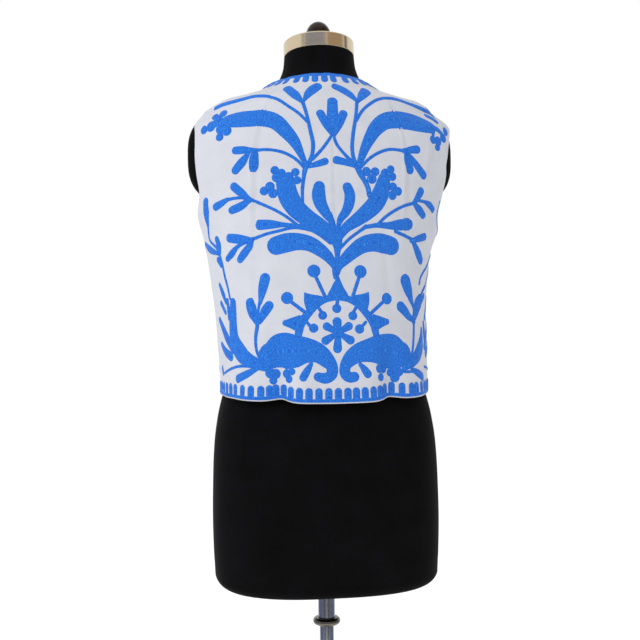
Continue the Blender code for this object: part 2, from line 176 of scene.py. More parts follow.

# %% [markdown]
# ## Chain-stitch thread
# A hooked needle pulls loops of soft cotton thread through the cloth in rows about 2 mm wide, and the
# rows follow each other from the outline of a leaf to its middle. Every loop is about 3 mm long, and its
# tip lies in the next one. Each motif carries a map with the length along it and the distance from its
# edge, in millimetres, so the material can draw real rows: a ridge across each row, and V-shaped loops
# along it. The colour is painted darker in the valleys between and lighter on the ridges, as painted shade
# and highlight. Chain stitch has a dull silky gloss, so the roughness is middling and the sheen is pale blue.

# %% Thread rows and loops
ROW_WIDTH = 2.0
LOOP_LENGTH = 3.1

stitching, tree, shader = new_material("chain_stitch_cotton_thread", Roughness=0.6, Specular_IOR_Level=0.25)
shader.inputs["Sheen Weight"].default_value = 0.06
shader.inputs["Sheen Roughness"].default_value = 0.4
shader.inputs["Sheen Tint"].default_value = (*linear("#8FBDF5"), 1.0)
sewing_map = add_node(tree, "ShaderNodeUVMap", {"uv_map": "sewing"}).outputs["UV"]
along_and_in = add_node(tree, "ShaderNodeSeparateXYZ", links={"Vector": sewing_map})
row_number = add_node(
    tree, "ShaderNodeMath", {"operation": "DIVIDE", 1: ROW_WIDTH}, {0: along_and_in.outputs["Y"]}
)
row_ridge = add_node(
    tree, "ShaderNodeMath", {"operation": "PINGPONG", 1: 0.5}, {0: row_number.outputs["Value"]}
)
loop_number = add_node(
    tree, "ShaderNodeMath", {"operation": "DIVIDE", 1: LOOP_LENGTH}, {0: along_and_in.outputs["X"]}
)
loop_slant = add_node(
    tree,
    "ShaderNodeMath",
    {"operation": "MULTIPLY_ADD", 1: 1.6},
    {0: row_ridge.outputs["Value"], 2: loop_number.outputs["Value"]},
)
loop_ridge = add_node(
    tree, "ShaderNodeMath", {"operation": "PINGPONG", 1: 0.5}, {0: loop_slant.outputs["Value"]}
)
both_ridges = {0: row_ridge.outputs["Value"], 1: loop_ridge.outputs["Value"]}
stitch_height = add_node(tree, "ShaderNodeMath", {"operation": "ADD"}, both_ridges)
print("stitch rows", ROW_WIDTH, "mm wide, loops", LOOP_LENGTH, "mm long")

# %% Thread colour
dye = add_node(
    tree,
    "ShaderNodeTexNoise",
    {"Scale": 0.45, "Detail": 4.0, "Roughness": 0.8},
    {"Vector": sewing_map},
)
dye_spread = add_node(
    tree,
    "ShaderNodeMapRange",
    {"From Min": 0.33, "From Max": 0.67, "To Min": -0.34, "To Max": 0.34},
    {"Value": dye.outputs["Fac"]},
)
# Painted shade and highlight: the thread's colour follows the stitch height, darker in the valleys between
# rows and loops and lighter on their ridges, with random dye noise mixed in.
painted_shade_and_dye = add_node(
    tree,
    "ShaderNodeMath",
    {"operation": "MULTIPLY_ADD", 1: 0.48},
    {0: stitch_height.outputs["Value"], 2: dye_spread.outputs["Result"]},
)
thread_share = add_node(
    tree,
    "ShaderNodeMath",
    {"operation": "ADD", 1: 0.2, "use_clamp": True},
    {0: painted_shade_and_dye.outputs["Value"]},
)
thread_colour = add_node(
    tree,
    "ShaderNodeValToRGB",
    {"stops": [(0.05, "#0F46AE"), (0.35, "#165DBF"), (0.6, "#1E74CE"), (0.95, "#3C94E0")]},
    {"Fac": thread_share.outputs["Value"]},
)
tree.links.new(thread_colour.outputs["Color"], shader.inputs["Base Color"])
loop_bump = add_node(
    tree,
    "ShaderNodeBump",
    {"Strength": 0.7, "Distance": 0.4 * MM},
    {"Height": stitch_height.outputs["Value"]},
)
tree.links.new(loop_bump.outputs["Normal"], shader.inputs["Normal"])
print("thread colour:", len(thread_colour.color_ramp.elements), "blues")

# %% [markdown]
# ## Black cotton jersey
# The form wears a tight knitted cover. Knit columns about 1 mm apart run up and down, and the short
# fibres catch light at grazing angles, so the edges look a little greyer than the middle. Sheen does
# that. The knit is drawn 1.6 mm apart, as coarse as it needs to be to show, and slow noise gives the lint
# and wear of a display form.

# %% Jersey
KNIT_SPACING = 1.6

jersey, tree, shader = new_material("black_cotton_jersey", Roughness=0.85, Specular_IOR_Level=0.06)
shader.inputs["Sheen Weight"].default_value = 0.03
shader.inputs["Sheen Roughness"].default_value = 0.3
shader.inputs["Sheen Tint"].default_value = (*linear("#C9CBE0"), 1.0)
sewing_map = add_node(tree, "ShaderNodeUVMap", {"uv_map": "sewing"}).outputs["UV"]
knit_bands = []
for direction, spacing in (("X", KNIT_SPACING), ("Y", KNIT_SPACING * 0.75)):
    bands = {"bands_direction": direction, "Scale": WAVE_PERIOD / spacing, "Distortion": 0.2}
    knit_bands.append(add_node(tree, "ShaderNodeTexWave", bands, {"Vector": sewing_map}).outputs["Fac"])
knit = add_node(tree, "ShaderNodeMath", {"operation": "MULTIPLY"}, {0: knit_bands[0], 1: knit_bands[1]})
lint = add_node(tree, "ShaderNodeTexNoise", {"Scale": 0.02, "Detail": 5.0}, {"Vector": sewing_map})
jersey_tone = add_node(
    tree,
    "ShaderNodeValToRGB",
    {"stops": [(0.3, "#070607"), (0.7, "#0B0A0C")]},
    {"Fac": lint.outputs["Fac"]},
)
tree.links.new(jersey_tone.outputs["Color"], shader.inputs["Base Color"])
knit_bump = add_node(
    tree, "ShaderNodeBump", {"Strength": 0.6, "Distance": 0.15 * MM}, {"Height": knit.outputs["Value"]}
)
tree.links.new(knit_bump.outputs["Normal"], shader.inputs["Normal"])
print("jersey knit drawn", KNIT_SPACING, "mm apart")

# %% [markdown]
# ## Plated metal, lacquer and enamel
# The neck cap is steel plated in a pale brass tint and polished. The stand's tubes and socket are bright
# chrome plate, and its collar, which hands touch most, has gone dull. All keep fine polishing marks,
# which run round a turned piece, so a noise stretched round the axis changes their roughness a little.
# The knob is turned wood under dark brown gloss lacquer, and the base is pressed steel with satin black
# baked enamel. A sprayed coat dries with a faint orange-peel waviness, a few millimetres from wave to
# wave.


# %% Plated and coated finishes
def polished_plate(name, dark, light, roughness):
    """A plated and polished metal, with marks that run round the piece."""
    material, tree, shader = new_material(name, Metallic=1.0)
    space = add_node(tree, "ShaderNodeTexCoord").outputs["Object"]
    flat_rings = add_node(tree, "ShaderNodeMapping", {"Scale": (40.0, 40.0, 900.0)}, {"Vector": space})
    marks = add_node(
        tree, "ShaderNodeTexNoise", {"Scale": 1.0, "Detail": 3.0}, {"Vector": flat_rings.outputs["Vector"]}
    ).outputs["Fac"]
    spread = {"To Min": roughness * 0.8, "To Max": roughness * 1.3}
    worn = add_node(tree, "ShaderNodeMapRange", spread, {"Value": marks})
    tree.links.new(worn.outputs["Result"], shader.inputs["Roughness"])
    tone = add_node(tree, "ShaderNodeValToRGB", {"stops": [(0.0, dark), (1.0, light)]}, {"Fac": marks})
    tree.links.new(tone.outputs["Color"], shader.inputs["Base Color"])
    return material


def sprayed_coat(name, dark, light, wave_depth, **settings):
    """A sprayed coat over a hard core, with the slight waviness that it dries with."""
    material, tree, shader = new_material(name, **settings)
    space = add_node(tree, "ShaderNodeTexCoord").outputs["Object"]
    waves = add_node(
        tree, "ShaderNodeTexNoise", {"Scale": 1 / (4.0 * MM), "Detail": 2.0}, {"Vector": space}
    ).outputs["Fac"]
    # Painted shade: the coat is coloured a little darker in the dips of its waviness and lighter on the
    # crests, from the same noise as its bump.
    tone = add_node(tree, "ShaderNodeValToRGB", {"stops": [(0.3, dark), (0.7, light)]}, {"Fac": waves})
    tree.links.new(tone.outputs["Color"], shader.inputs["Base Color"])
    peel = {"Strength": 0.3, "Distance": wave_depth * MM}
    bump = add_node(tree, "ShaderNodeBump", peel, {"Height": waves})
    tree.links.new(bump.outputs["Normal"], shader.inputs["Normal"])
    return material


tinted_brass = polished_plate("champagne_brass_plate", "#C4B394", "#DACBB0", 0.2)
chrome = polished_plate("bright_chrome_plate", "#8E939F", "#A2A7B2", 0.1)
dull_chrome = polished_plate("worn_chrome_plate", "#67635A", "#7A756A", 0.24)
gloss = {"Roughness": 0.2, "Specular_IOR_Level": 0.2}
lacquer = sprayed_coat("brown_gloss_lacquer", "#1C100A", "#28180F", 0.02, **gloss)
enamel = sprayed_coat("satin_black_enamel", "#1B1B1D", "#202023", 0.03, Roughness=0.38)
print("finishes:", ", ".join(m.name for m in (tinted_brass, chrome, dull_chrome, lacquer, enamel)))

# %% [markdown]
# ## The shapes under the cloth
# The form and the cloth are rounded sections stacked up the pole, as a tailor would measure them: how
# wide, how deep to the back and to the front at each height. The tables below are the same ones that the
# solids were made from, in millimetres. NumPy works out all points of a piece at once, so the finer
# pieces below take no time.

# %% Sections of the form
# Each section: height, half width, depth to the back, depth to the front, squareness, shift.
FORM_SECTIONS = (
    (660, 159.5, 120, 102, 2.45, 0),
    (703, 163.4, 126, 106, 2.45, 0),
    (756, 164.5, 128.5, 108.5, 2.45, 0),
    (819, 163.3, 127, 110, 2.45, 0),
    (862, 161, 123, 111, 2.45, 0),
    (900, 156, 117, 110, 2.4, 0),
    (960, 141, 98, 103, 2.35, 0),
    (1000, 131, 84, 97, 2.3, 0),
    (1040, 125, 78, 95, 2.3, 0),
    (1080, 127, 81, 99, 2.3, 0),
    (1120, 134, 87, 110, 2.3, 0),
    (1160, 143, 94, 123, 2.3, 0),
    (1200, 150, 100, 130, 2.3, 0),
    (1240, 158, 105, 122, 2.3, 0),
    (1280, 164, 103, 105, 2.3, 0),
    (1315, 165.5, 96, 88, 2.3, 0),
    (1338, 163.5, 88, 75, 2.25, 0),
    (1351, 150, 82, 68, 2.2, -1),
    (1360, 119, 78, 63.5, 2.15, -3),
    (1369, 91, 73, 60, 2.1, -4),
    (1378, 74, 67, 57, 2.05, -5.5),
    (1387, 63.5, 61, 54.5, 2, -7),
    (1400, 56.5, 55, 53, 2, -8),
    (1412, 53, 52.5, 52, 2, -9),
    (1427.7, 51.4, 51.4, 51.4, 2, -10),
)
NECK_TOP = 1427.7
NECK_TILT = math.radians(6.0)
NECK_LEAN_FROM_Z = 1395.0
STUB_Z, STUB_HALF_HEIGHT, STUB_SQUARE = 1277.0, 86.0, 3.0
STUB_REACH, STUB_HALF_DEPTH, STUB_PLAN_SQUARE, STUB_BLEND = 194.5, 49.0, 2.6, 9.0


def read_column(table, column, z):
    """Read one column of a table at heights z, along a curve that never overshoots its rows."""
    heights = np.array([row[0] for row in table])
    values = np.array([row[column] for row in table])
    z = np.clip(z, heights[0], heights[-1])
    steps = np.diff(heights)
    slopes = np.diff(values) / steps
    before, after = slopes[:-1], slopes[1:]
    rising = before * after > 0
    tangents = np.where(rising, 2 * before * after / np.where(rising, before + after, 1.0), 0.0)
    tangents = np.concatenate((slopes[:1], tangents, slopes[-1:]))
    i = np.clip(np.searchsorted(heights, z) - 1, 0, len(steps) - 1)
    t = (z - heights[i]) / steps[i]
    return (
        values[i] * (1 + 2 * t) * (1 - t) ** 2
        + values[i + 1] * t * t * (3 - 2 * t)
        + steps[i] * tangents[i] * t * (1 - t) ** 2
        - steps[i] * tangents[i + 1] * t * t * (1 - t)
    )


def bell(distance, half_width):
    """1 at the middle of a fold, falling softly to 0 on both sides."""
    return np.exp(-((distance / half_width) ** 2))


def soft_max(a, b, blend):
    """The larger of two sizes, rounded off where they meet."""
    h = np.maximum(blend - np.abs(a - b), 0.0) / blend
    return np.maximum(a, b) + h * h * blend / 4


def smooth_step(low, high, value):
    t = np.clip((value - low) / (high - low), 0.0, 1.0)
    return t * t * (3 - 2 * t)


def outline_radius(angle, half_width, depth, square):
    """Distance from the middle of a rounded outline to its edge at an angle round the body."""
    across = (np.abs(np.cos(angle)) / half_width) ** square
    along = (np.abs(np.sin(angle)) / depth) ** square
    return (across + along) ** (-1 / square)


def section_radius(sections, angle, z):
    width, back, front, square = (read_column(sections, column, z) for column in (1, 2, 3, 4))
    return outline_radius(angle, width, np.where(np.sin(angle) > 0, back, front), square)


def form_radius(angle, z):
    lift = np.clip(np.abs(z - STUB_Z) / STUB_HALF_HEIGHT, 0.0, 1.0)
    swell = (1 - lift**STUB_SQUARE) ** (1 / STUB_SQUARE)
    stub = swell * outline_radius(angle, STUB_REACH, STUB_HALF_DEPTH, STUB_PLAN_SQUARE)
    return soft_max(section_radius(FORM_SECTIONS, angle, z), stub, STUB_BLEND)


def point_at(angle, z, radius):
    """A point of a section, moved with its middle. The neck's sections lean with its cap."""
    y = radius * np.sin(angle)
    lean = math.tan(NECK_TILT) * smooth_step(NECK_LEAN_FROM_Z, NECK_TOP, z)
    shift = read_column(FORM_SECTIONS, 5, z)
    return np.stack((radius * np.cos(angle), y + shift, z + y * lean), axis=-1)


waist = form_radius(np.radians(np.arange(0.0, 360.0)), np.full(360, 1040.0))
print("waist of the form:", round(float(np.sum(waist)) * math.radians(1.0)), "mm round")

# %% [markdown]
# ## The hang of the cloth
# The vest hangs from the shoulders on wider sections of its own and lies on the form only where the form
# is wider. Vertical folds deepen towards the hem, and the cloth stands away a little below each armhole.
# A real maker's cloth could be simulated, but the photograph shows exactly where its folds fall, so they
# are listed one by one.

# %% Sections and folds of the cloth
WALL, REST_CLEARANCE, REST_BLEND = 1.6, 1.4, 3.0
OUTSIDE = REST_CLEARANCE + WALL
SWAY, SWAY_Z, SWAY_HALF_HEIGHT = 5.5, 1110.0, 110.0
# The cloth's sections are in the same order, without a shift of their own.
CLOTH_SECTIONS = (
    (915, 146, 128, 138, 2.5),
    (956, 147, 126, 137.5, 2.5),
    (1000, 148, 124, 137, 2.5),
    (1053, 150, 121, 136.5, 2.45),
    (1086, 153, 118, 136, 2.45),
    (1108, 155.5, 116, 135.5, 2.45),
    (1158, 163.5, 112, 134, 2.45),
    (1190, 168.5, 109.5, 132.5, 2.45),
    (1220, 177, 107.5, 129, 2.4),
    (1250, 189, 105.5, 121.5, 2.35),
    (1280, 197, 102.5, 108, 2.3),
    (1310, 194, 96, 89, 2.3),
    (1330, 176, 86, 73, 2.2),
    (1345, 146, 72, 58, 2.2),
    (1365, 100, 60, 50, 2.1),
    (1400, 46, 45, 43, 2),
)
# Each fold: angle round the body, rise, half angle, and the height where it ends.
FOLDS = (
    (56, -11, 6.5, 1075),
    (124, -10, 6.5, 1080),
    (71, 4, 7, 1020),
    (108, 4.5, 7, 1030),
    (39, 5, 8, 1060),
    (141, 4, 8, 1050),
    (-34, -7, 6.5, 1060),
    (-147, -8, 6.5, 1075),
    (-52, 4.5, 7, 1050),
    (-127, 4, 8, 1040),
    (-70, -3, 6, 1010),
    (-108, -4, 6, 1030),
)
FOLD_FOOT_Z = 902.0
# Each place where the cloth stands away: angle, height, rise, half angle, half height.
GAPES = (
    (7, 1188, 7, 13, 22),
    (174, 1168, 5, 13, 18),
    (-26, 1182, 3, 11, 22),
    (-154, 1186, 3.5, 11, 22),
)


def cloth_radius(angle, z):
    """The inside of the cloth: it hangs on its own sections and lies on the form where that is larger."""
    degrees = np.degrees(angle)
    hang = section_radius(CLOTH_SECTIONS, angle, z)
    hang = hang + SWAY * np.cos(angle) * bell(z - SWAY_Z, SWAY_HALF_HEIGHT)
    for at, rise, half_angle, top_z in FOLDS:
        hang = hang + rise * (1 - smooth_step(FOLD_FOOT_Z, top_z, z)) * bell(degrees - at, half_angle)
    for at, height, rise, half_angle, half_height in GAPES:
        hang = hang + rise * bell(degrees - at, half_angle) * bell(z - height, half_height)
    return soft_max(form_radius(angle, z), hang, REST_BLEND)


def cloth_point(angle, z, lift):
    """Points of the cloth, lift millimetres out from where it touches the form."""
    step_angle, step_z = 0.004, 0.6

    def bare(a, h):
        return point_at(a, h, cloth_radius(a, h))

    round_body = bare(angle + step_angle, z) - bare(angle - step_angle, z)
    up_body = bare(angle, z + step_z) - bare(angle, z - step_z)
    normal = np.cross(round_body, up_body)
    normal /= np.linalg.norm(normal, axis=-1, keepdims=True)
    return bare(angle, z) + normal * np.asarray(lift)[..., None]


chest = cloth_radius(np.radians(np.arange(-180.0, 180.0)), np.full(360, 1190.0))
print("cloth below the arms:", round(float(np.sum(chest)) * math.radians(1.0)), "mm round")

# %% [markdown]
# ## The cut
# The vest is three panels: one back and two fronts, joined at the sides and shoulders. The hem and
# neckline are curves, and the armhole is cut back from the side seam. These functions say how far each
# panel reaches at each height, in angles round the body. Embroidery is planned flat, in millimetres from
# the middle of the panel, so a table of lengths round the cloth turns a flat place into an angle.

# %% Edges of the panels
HEM_Z, NECKLINE_Z = 927.0, 1393.0
HEM_SIDE_RISE, HEM_FOLD_RISE, DEEP_FOLD, HEM_FADE_TO_Z = 7.0, 4.0, -9.0, 1060.0
BACK_NECK_DROP, FRONT_NECK_DROP, NECK_FADE_FROM_Z = 6.0, 50.0, 1220.0
BACK_NECK_ROUND, FRONT_NECK_ROUND = 1.0, 1.3
# The neckline has stretched a little over the shoulders, where it lies lower.
SIDE_NECK_DROP, SIDE_NECK_FADE = 9.0, 6
FRONT_OPENING_TOP, FRONT_OPENING_HEM = 3.0, 8.0
SEAM_GAP = 0.3
UNDERARM_Z, SHOULDER_TIP_Z = 1190.0, 1342.0
ARMHOLE = (
    (1190, 0, 0),
    (1198, 4.5, 6.5),
    (1210, 8, 12),
    (1226, 10.8, 16.5),
    (1250, 12.8, 20.5),
    (1280, 14.3, 23),
    (1305, 13, 21),
    (1322, 9.6, 16),
    (1334, 5.4, 9.5),
    (1342, 0, 0),
)
# The wearer's right armhole is pulled a little towards the spine. Degrees, middle height, half height.
RIGHT_ARMHOLE_PULL, PULLED_IN_Z, PULLED_IN_HALF_HEIGHT = 4.0, 1262.0, 40.0
SIDE_CROWDING = 0.62


def row_height(angle, z):
    """Where a row of the cloth lies at an angle: the hem and the neckline have their own curves."""
    degrees = np.degrees(angle)
    folds = sum(bell(degrees - at, half) for at, rise, half, top in FOLDS if rise < DEEP_FOLD)
    near_hem = 1 - smooth_step(HEM_Z, HEM_FADE_TO_Z, z)
    hem = (HEM_SIDE_RISE * np.cos(angle) ** 2 + HEM_FOLD_RISE * folds) * near_hem
    at_back = np.sin(angle) > 0
    drop = np.where(at_back, BACK_NECK_DROP, FRONT_NECK_DROP)
    power = np.where(at_back, BACK_NECK_ROUND, FRONT_NECK_ROUND)
    share = np.maximum(z - NECK_FADE_FROM_Z, 0.0) / (NECKLINE_Z - NECK_FADE_FROM_Z)
    stretched = SIDE_NECK_DROP * np.cos(angle) ** 2 * share**SIDE_NECK_FADE
    return z + hem - drop * np.abs(np.sin(angle)) ** power * share - stretched


def edge_angle(side, z, pulled_in=0.0):
    """Angle of the cloth's edge at the side seam, the armhole or the shoulder seam."""
    seam = SEAM_GAP / 2 / cloth_radius(np.zeros_like(z), z)
    cut_back = np.radians(read_column(ARMHOLE, 1 if side == "back" else 2, z))
    cut_back = cut_back + math.radians(pulled_in) * bell(z - PULLED_IN_Z, PULLED_IN_HALF_HEIGHT)
    inside = (z > UNDERARM_Z) & (z < SHOULDER_TIP_Z)
    return np.where(inside, np.maximum(seam, cut_back), seam)


def last_angle(side, z):
    """Angle of a panel's other edge: the far seam of the back, or the open edge of a front."""
    if side == "back":
        return math.pi - edge_angle(side, z, RIGHT_ARMHOLE_PULL)
    share = (z - HEM_Z) / (NECKLINE_Z - HEM_Z)
    opening = FRONT_OPENING_HEM + (FRONT_OPENING_TOP - FRONT_OPENING_HEM) * share
    middle = np.full_like(z, -math.pi / 2)
    return np.arccos(opening / cloth_radius(middle, row_height(middle, z)))


TURNS = {
    "back": lambda angle: angle,
    "front_left": lambda angle: -angle,
    "front_right": lambda angle: angle - math.pi,
}
for panel in TURNS:
    side = panel.split("_")[0]
    widths = np.degrees(last_angle(side, np.array([HEM_Z])) - edge_angle(side, np.array([HEM_Z])))
    print(panel, "spans", round(float(widths[0])), "degrees at the hem")

# %% Lengths round the cloth
Z_STEP, ACROSS_STEP, WIDEST_TURN = 4.0, 2.0, 100.0
TABLE_Z = np.arange(900.0, 1400.0, Z_STEP)
TABLE_TURN = np.radians(np.arange(-WIDEST_TURN, WIDEST_TURN + 0.5, 1.0))
TABLE_ACROSS = np.arange(-280.0, 281.0, ACROSS_STEP)
MIDDLES = {"back": (math.pi / 2, -1.0), "front": (-math.pi / 2, 1.0)}


def length_table(face):
    """For each height, the length round the cloth from the middle of the back or front to each turn."""
    middle, way = MIDDLES[face]
    turn, z = np.meshgrid(TABLE_TURN, TABLE_Z)
    points = cloth_point(middle + way * turn, z, np.full(turn.shape, OUTSIDE))
    lengths = np.cumsum(np.linalg.norm(np.diff(points, axis=1), axis=-1), axis=1)
    lengths = np.concatenate((np.zeros((len(TABLE_Z), 1)), lengths), axis=1)
    return lengths - lengths[:, len(TABLE_TURN) // 2][:, None]


LENGTHS = {face: length_table(face) for face in MIDDLES}
TURN_TABLES = {
    face: np.array([np.interp(TABLE_ACROSS, row, TABLE_TURN) for row in LENGTHS[face]]) for face in MIDDLES
}


def look_up(table, row, column):
    """Read a table between its rows and columns."""
    row = np.clip(row, 0, table.shape[0] - 1.001)
    column = np.clip(column, 0, table.shape[1] - 1.001)
    i, j = row.astype(int), column.astype(int)
    s, t = row - i, column - j
    low = table[i, j] * (1 - t) + table[i, j + 1] * t
    high = table[i + 1, j] * (1 - t) + table[i + 1, j + 1] * t
    return low * (1 - s) + high * s


def angle_at(face, across, z):
    """Angle round the body of a place that lies across millimetres from the middle of a face."""
    middle, way = MIDDLES[face]
    row, column = (z - TABLE_Z[0]) / Z_STEP, (across - TABLE_ACROSS[0]) / ACROSS_STEP
    return middle + way * look_up(TURN_TABLES[face], row, column)


def across_at(face, angle, z):
    """The other way round: how far a place at an angle lies from the middle of a face."""
    middle, way = MIDDLES[face]
    turn = np.degrees((angle - middle) * way) + WIDEST_TURN
    return look_up(LENGTHS[face], (z - TABLE_Z[0]) / Z_STEP, turn)


seam_place = angle_at("back", np.array([200.0]), np.array([1100.0]))
print("200 mm from the back's middle lies at", round(float(np.degrees(seam_place[0]))), "degrees")

# %% [markdown]
# ## Small creases
# Packed garments keep faint ridges where they were folded flat, and stitched cloth never hangs quite
# smooth. Both move it by 2.4 mm at most, so they are added to the lift of every point of the cloth and of
# its embroidery alike. The thread then always lies on the cloth. The ridges and puckers could be modelled
# in the material as bumps, but real height also changes the shading of the soft folds.

# %% Creases
# Each crease of the back: degrees round the body, height of its middle, half height, rise, half angle.
STORAGE_CREASES = (
    (41, 1220, 150, 1.5, 0.9),
    (43, 1190, 170, -1.5, 1.1),
    (45, 1110, 70, -1.8, 2.4),
    (88.6, 1224, 70, 1.3, 0.9),
    (90.8, 1220, 70, -1.4, 1.1),
    (137.4, 1250, 110, 1.6, 0.8),
    (139.8, 1235, 80, -1.5, 1.2),
    (126, 1110, 70, -1.2, 2.6),
    (-48, 1140, 240, 1, 0.8),
    (-134, 1140, 240, 1, 0.8),
)
# Each drag line: degrees and height where it starts, degrees and height where it ends, rise, half width.
DRAG_LINES = (
    (14, 1206, 44, 1176, 1.3, 5),
    (20, 1226, 52, 1204, 0.9, 5),
    (165, 1206, 142, 1172, 1.8, 4.5),
    (163, 1190, 143, 1150, -1.8, 5),
    (155.5, 1290, 150, 1228, -1.6, 3),
    (152, 1296, 146, 1206, 1.5, 3),
    (160.5, 1286, 155, 1214, 1.5, 3),
    (163, 1268, 158, 1206, -1.4, 2.5),
    (149, 1262, 146, 1190, -1.4, 3),
    (158, 1236, 140, 1196, 1.2, 4),
    (-24, 1214, -52, 1184, 1.4, 5),
    (-156, 1214, -130, 1184, 1.4, 5),
    (18, 1120, 34, 1060, 1.2, 6),
    (160, 1110, 148, 1050, 1.2, 6),
)
DEGREE_LENGTH = 2.3
CREASE_WANDER = 0.7
LOWEST_CREASE, HIGHEST_CREASE = -1.2, 2.4


def crease(angle, z):
    """Height that small creases add to the cloth, in millimetres."""
    degrees = np.degrees(angle)
    # Two faint ripples come first, a short one and a long one.
    rise = 0.22 * np.sin(z / 13.0 + 1.7 * np.sin(degrees / 9.0)) * np.sin(degrees / 5.3 + 0.8)
    rise = rise + 0.3 * np.sin(z / 41.0 + degrees / 17.0) * np.sin(degrees / 3.1 + z / 90.0)
    for at, height, half_height, ridge_rise, half_angle in STORAGE_CREASES:
        wander = at + CREASE_WANDER * np.sin(z / 38.0 + at)
        rise = rise + ridge_rise * bell(degrees - wander, half_angle) * bell(z - height, half_height)
    for start_angle, start_z, end_angle, end_z, line_rise, half_width in DRAG_LINES:
        run = np.array([(end_angle - start_angle) * DEGREE_LENGTH, end_z - start_z])
        from_start = np.stack(((degrees - start_angle) * DEGREE_LENGTH, z - start_z), axis=-1)
        share = np.clip(from_start @ run / (run @ run), 0.0, 1.0)
        away = np.linalg.norm(from_start - share[..., None] * run, axis=-1)
        rise = rise + line_rise * bell(away, half_width) * np.sin(math.pi * (0.12 + 0.82 * share))
    return np.clip(rise, LOWEST_CREASE, HIGHEST_CREASE)


sample = crease(np.radians(np.linspace(0.0, 180.0, 400)), np.full(400, UNDERARM_Z))
print("creases at underarm height:", round(float(sample.min()), 2), "to", round(float(sample.max()), 2), "mm")

# %% [markdown]
# ## Making a piece
# Every piece is a mesh with a map in millimetres, called sewing, that its material reads. It rides on the
# body that carries it. One function does this for all of them.


# %% Piece maker
def make_piece(name, points, faces, material, sewing, body="form"):
    """Make a smooth mesh piece from points in millimetres. Sewing gives its map, one pair for each point."""
    mesh = bpy.data.meshes.new(name)
    mesh.from_pydata((np.asarray(points) * MM).tolist(), [], [tuple(int(i) for i in face) for face in faces])
    layer = mesh.uv_layers.new(name="sewing")
    corner = np.zeros(len(mesh.loops), dtype=np.int32)
    mesh.loops.foreach_get("vertex_index", corner)
    layer.data.foreach_set("uv", np.asarray(sewing, dtype=np.float32)[corner].ravel())
    mesh.materials.append(material)
    mesh.shade_smooth()
    piece = bpy.data.objects.new(name, mesh)
    bpy.context.scene.collection.objects.link(piece)
    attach(piece, body)
    print(name, "has", len(mesh.vertices), "points")
    return piece


def grid_faces(rows, columns, first=0, flip=False):
    """Quads between neighbouring rows of points."""
    faces = []
    for r in range(rows - 1):
        for c in range(columns - 1):
            a = first + r * columns + c
            quad = (a, a + 1, a + columns + 1, a + columns)
            faces.append(quad[::-1] if flip else quad)
    return faces


# %% [markdown]
# ## The covered form
# The jersey cover is one smooth skin from the rim of the bottom to the neck. A fine mesh of rings is used
# in place of the plain solid: it keeps the same sections, and has enough points to look smooth from near
# by. Underneath, the cover is drawn in over a flat board with a hole for the tube.

# %% Jersey skin
FORM_BOTTOM, FORM_EDGE_ROUND, FORM_FOOT_Z = 659.0, 20.0, 690.0
TUBE_HOLE = 12.9
SKIN_SEGMENTS = 180
SKIN_MAP_RADIUS = 150.0

phase = 2 * math.pi * np.arange(SKIN_SEGMENTS + 1) / SKIN_SEGMENTS
skin_angles = np.arctan2(SIDE_CROWDING * np.sin(phase), np.cos(phase))
skin_rows = []
for turn in np.radians(np.linspace(-90.0, -15.0, 8)):
    inset = FORM_EDGE_ROUND * (1 - math.cos(turn))
    foot = np.full_like(skin_angles, FORM_FOOT_Z)
    ring = point_at(skin_angles, foot, form_radius(skin_angles, foot) - inset)
    ring[:, 2] = FORM_BOTTOM + FORM_EDGE_ROUND * (1 + math.sin(turn))
    skin_rows.append(ring)
# Rings of the skin lie closer towards the shoulders and the neck: from, to, step.
row_steps = ((FORM_FOOT_Z, 1180.0, 6.0), (1180.0, 1330.0, 3.0), (1330.0, 1427.0, 2.0))
skin_heights = np.concatenate([np.arange(*steps) for steps in row_steps] + [[NECK_TOP]])
for height in skin_heights:
    level = np.full_like(skin_angles, height)
    skin_rows.append(point_at(skin_angles, level, form_radius(skin_angles, level)))
# Inside the rim the cover lies on a flat board, a little higher up.
BOARD_RISE = 0.4
bottom = skin_rows[0]
for share in (0.97, 0.7, 0.4, 0.15):
    drawn_in = bottom.copy()
    drawn_in[:, :2] *= share
    drawn_in[:, 2] += 0.0 if share > 0.9 else BOARD_RISE
    skin_rows.insert(0, drawn_in)
hole_z = np.full_like(skin_angles, FORM_BOTTOM)
hole = (TUBE_HOLE * np.cos(skin_angles), TUBE_HOLE * np.sin(skin_angles), hole_z)
skin_rows[0] = np.stack(hole, axis=-1)
# The top of the neck, under the cap, is closed almost to its middle.
top = skin_rows[-1]
skin_rows.append(top * 0.02 + top.mean(axis=0) * 0.98)

skin_points = np.array(skin_rows)
skin_map = np.stack(np.broadcast_arrays(phase * SKIN_MAP_RADIUS, skin_points[..., 2]), axis=-1)
jersey_skin = make_piece(
    "jersey_cover",
    skin_points.reshape(-1, 3),
    grid_faces(len(skin_rows), SKIN_SEGMENTS + 1),
    jersey,
    skin_map.reshape(-1, 2),
)
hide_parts("form_torso")

# %% [markdown]
# ## Turned metal and wood
# The cap, knob, tubes, collar, hub and base are all turned shapes: one profile, spun round an axis.
# Spinning the profile in code gives the same sizes as the solids with rounder edges. Profiles are lists
# of radius and height.


# %% Turned pieces
TURNED_SEGMENTS, SHARP_ANGLE = 128, math.radians(50)


def arc(centre, radius, start, end, count=8):
    """Points of an arc in a profile, from one angle in degrees to another."""
    turns = np.radians(np.linspace(start, end, count))
    return [(centre[0] + radius * math.cos(t), centre[1] + radius * math.sin(t)) for t in turns]


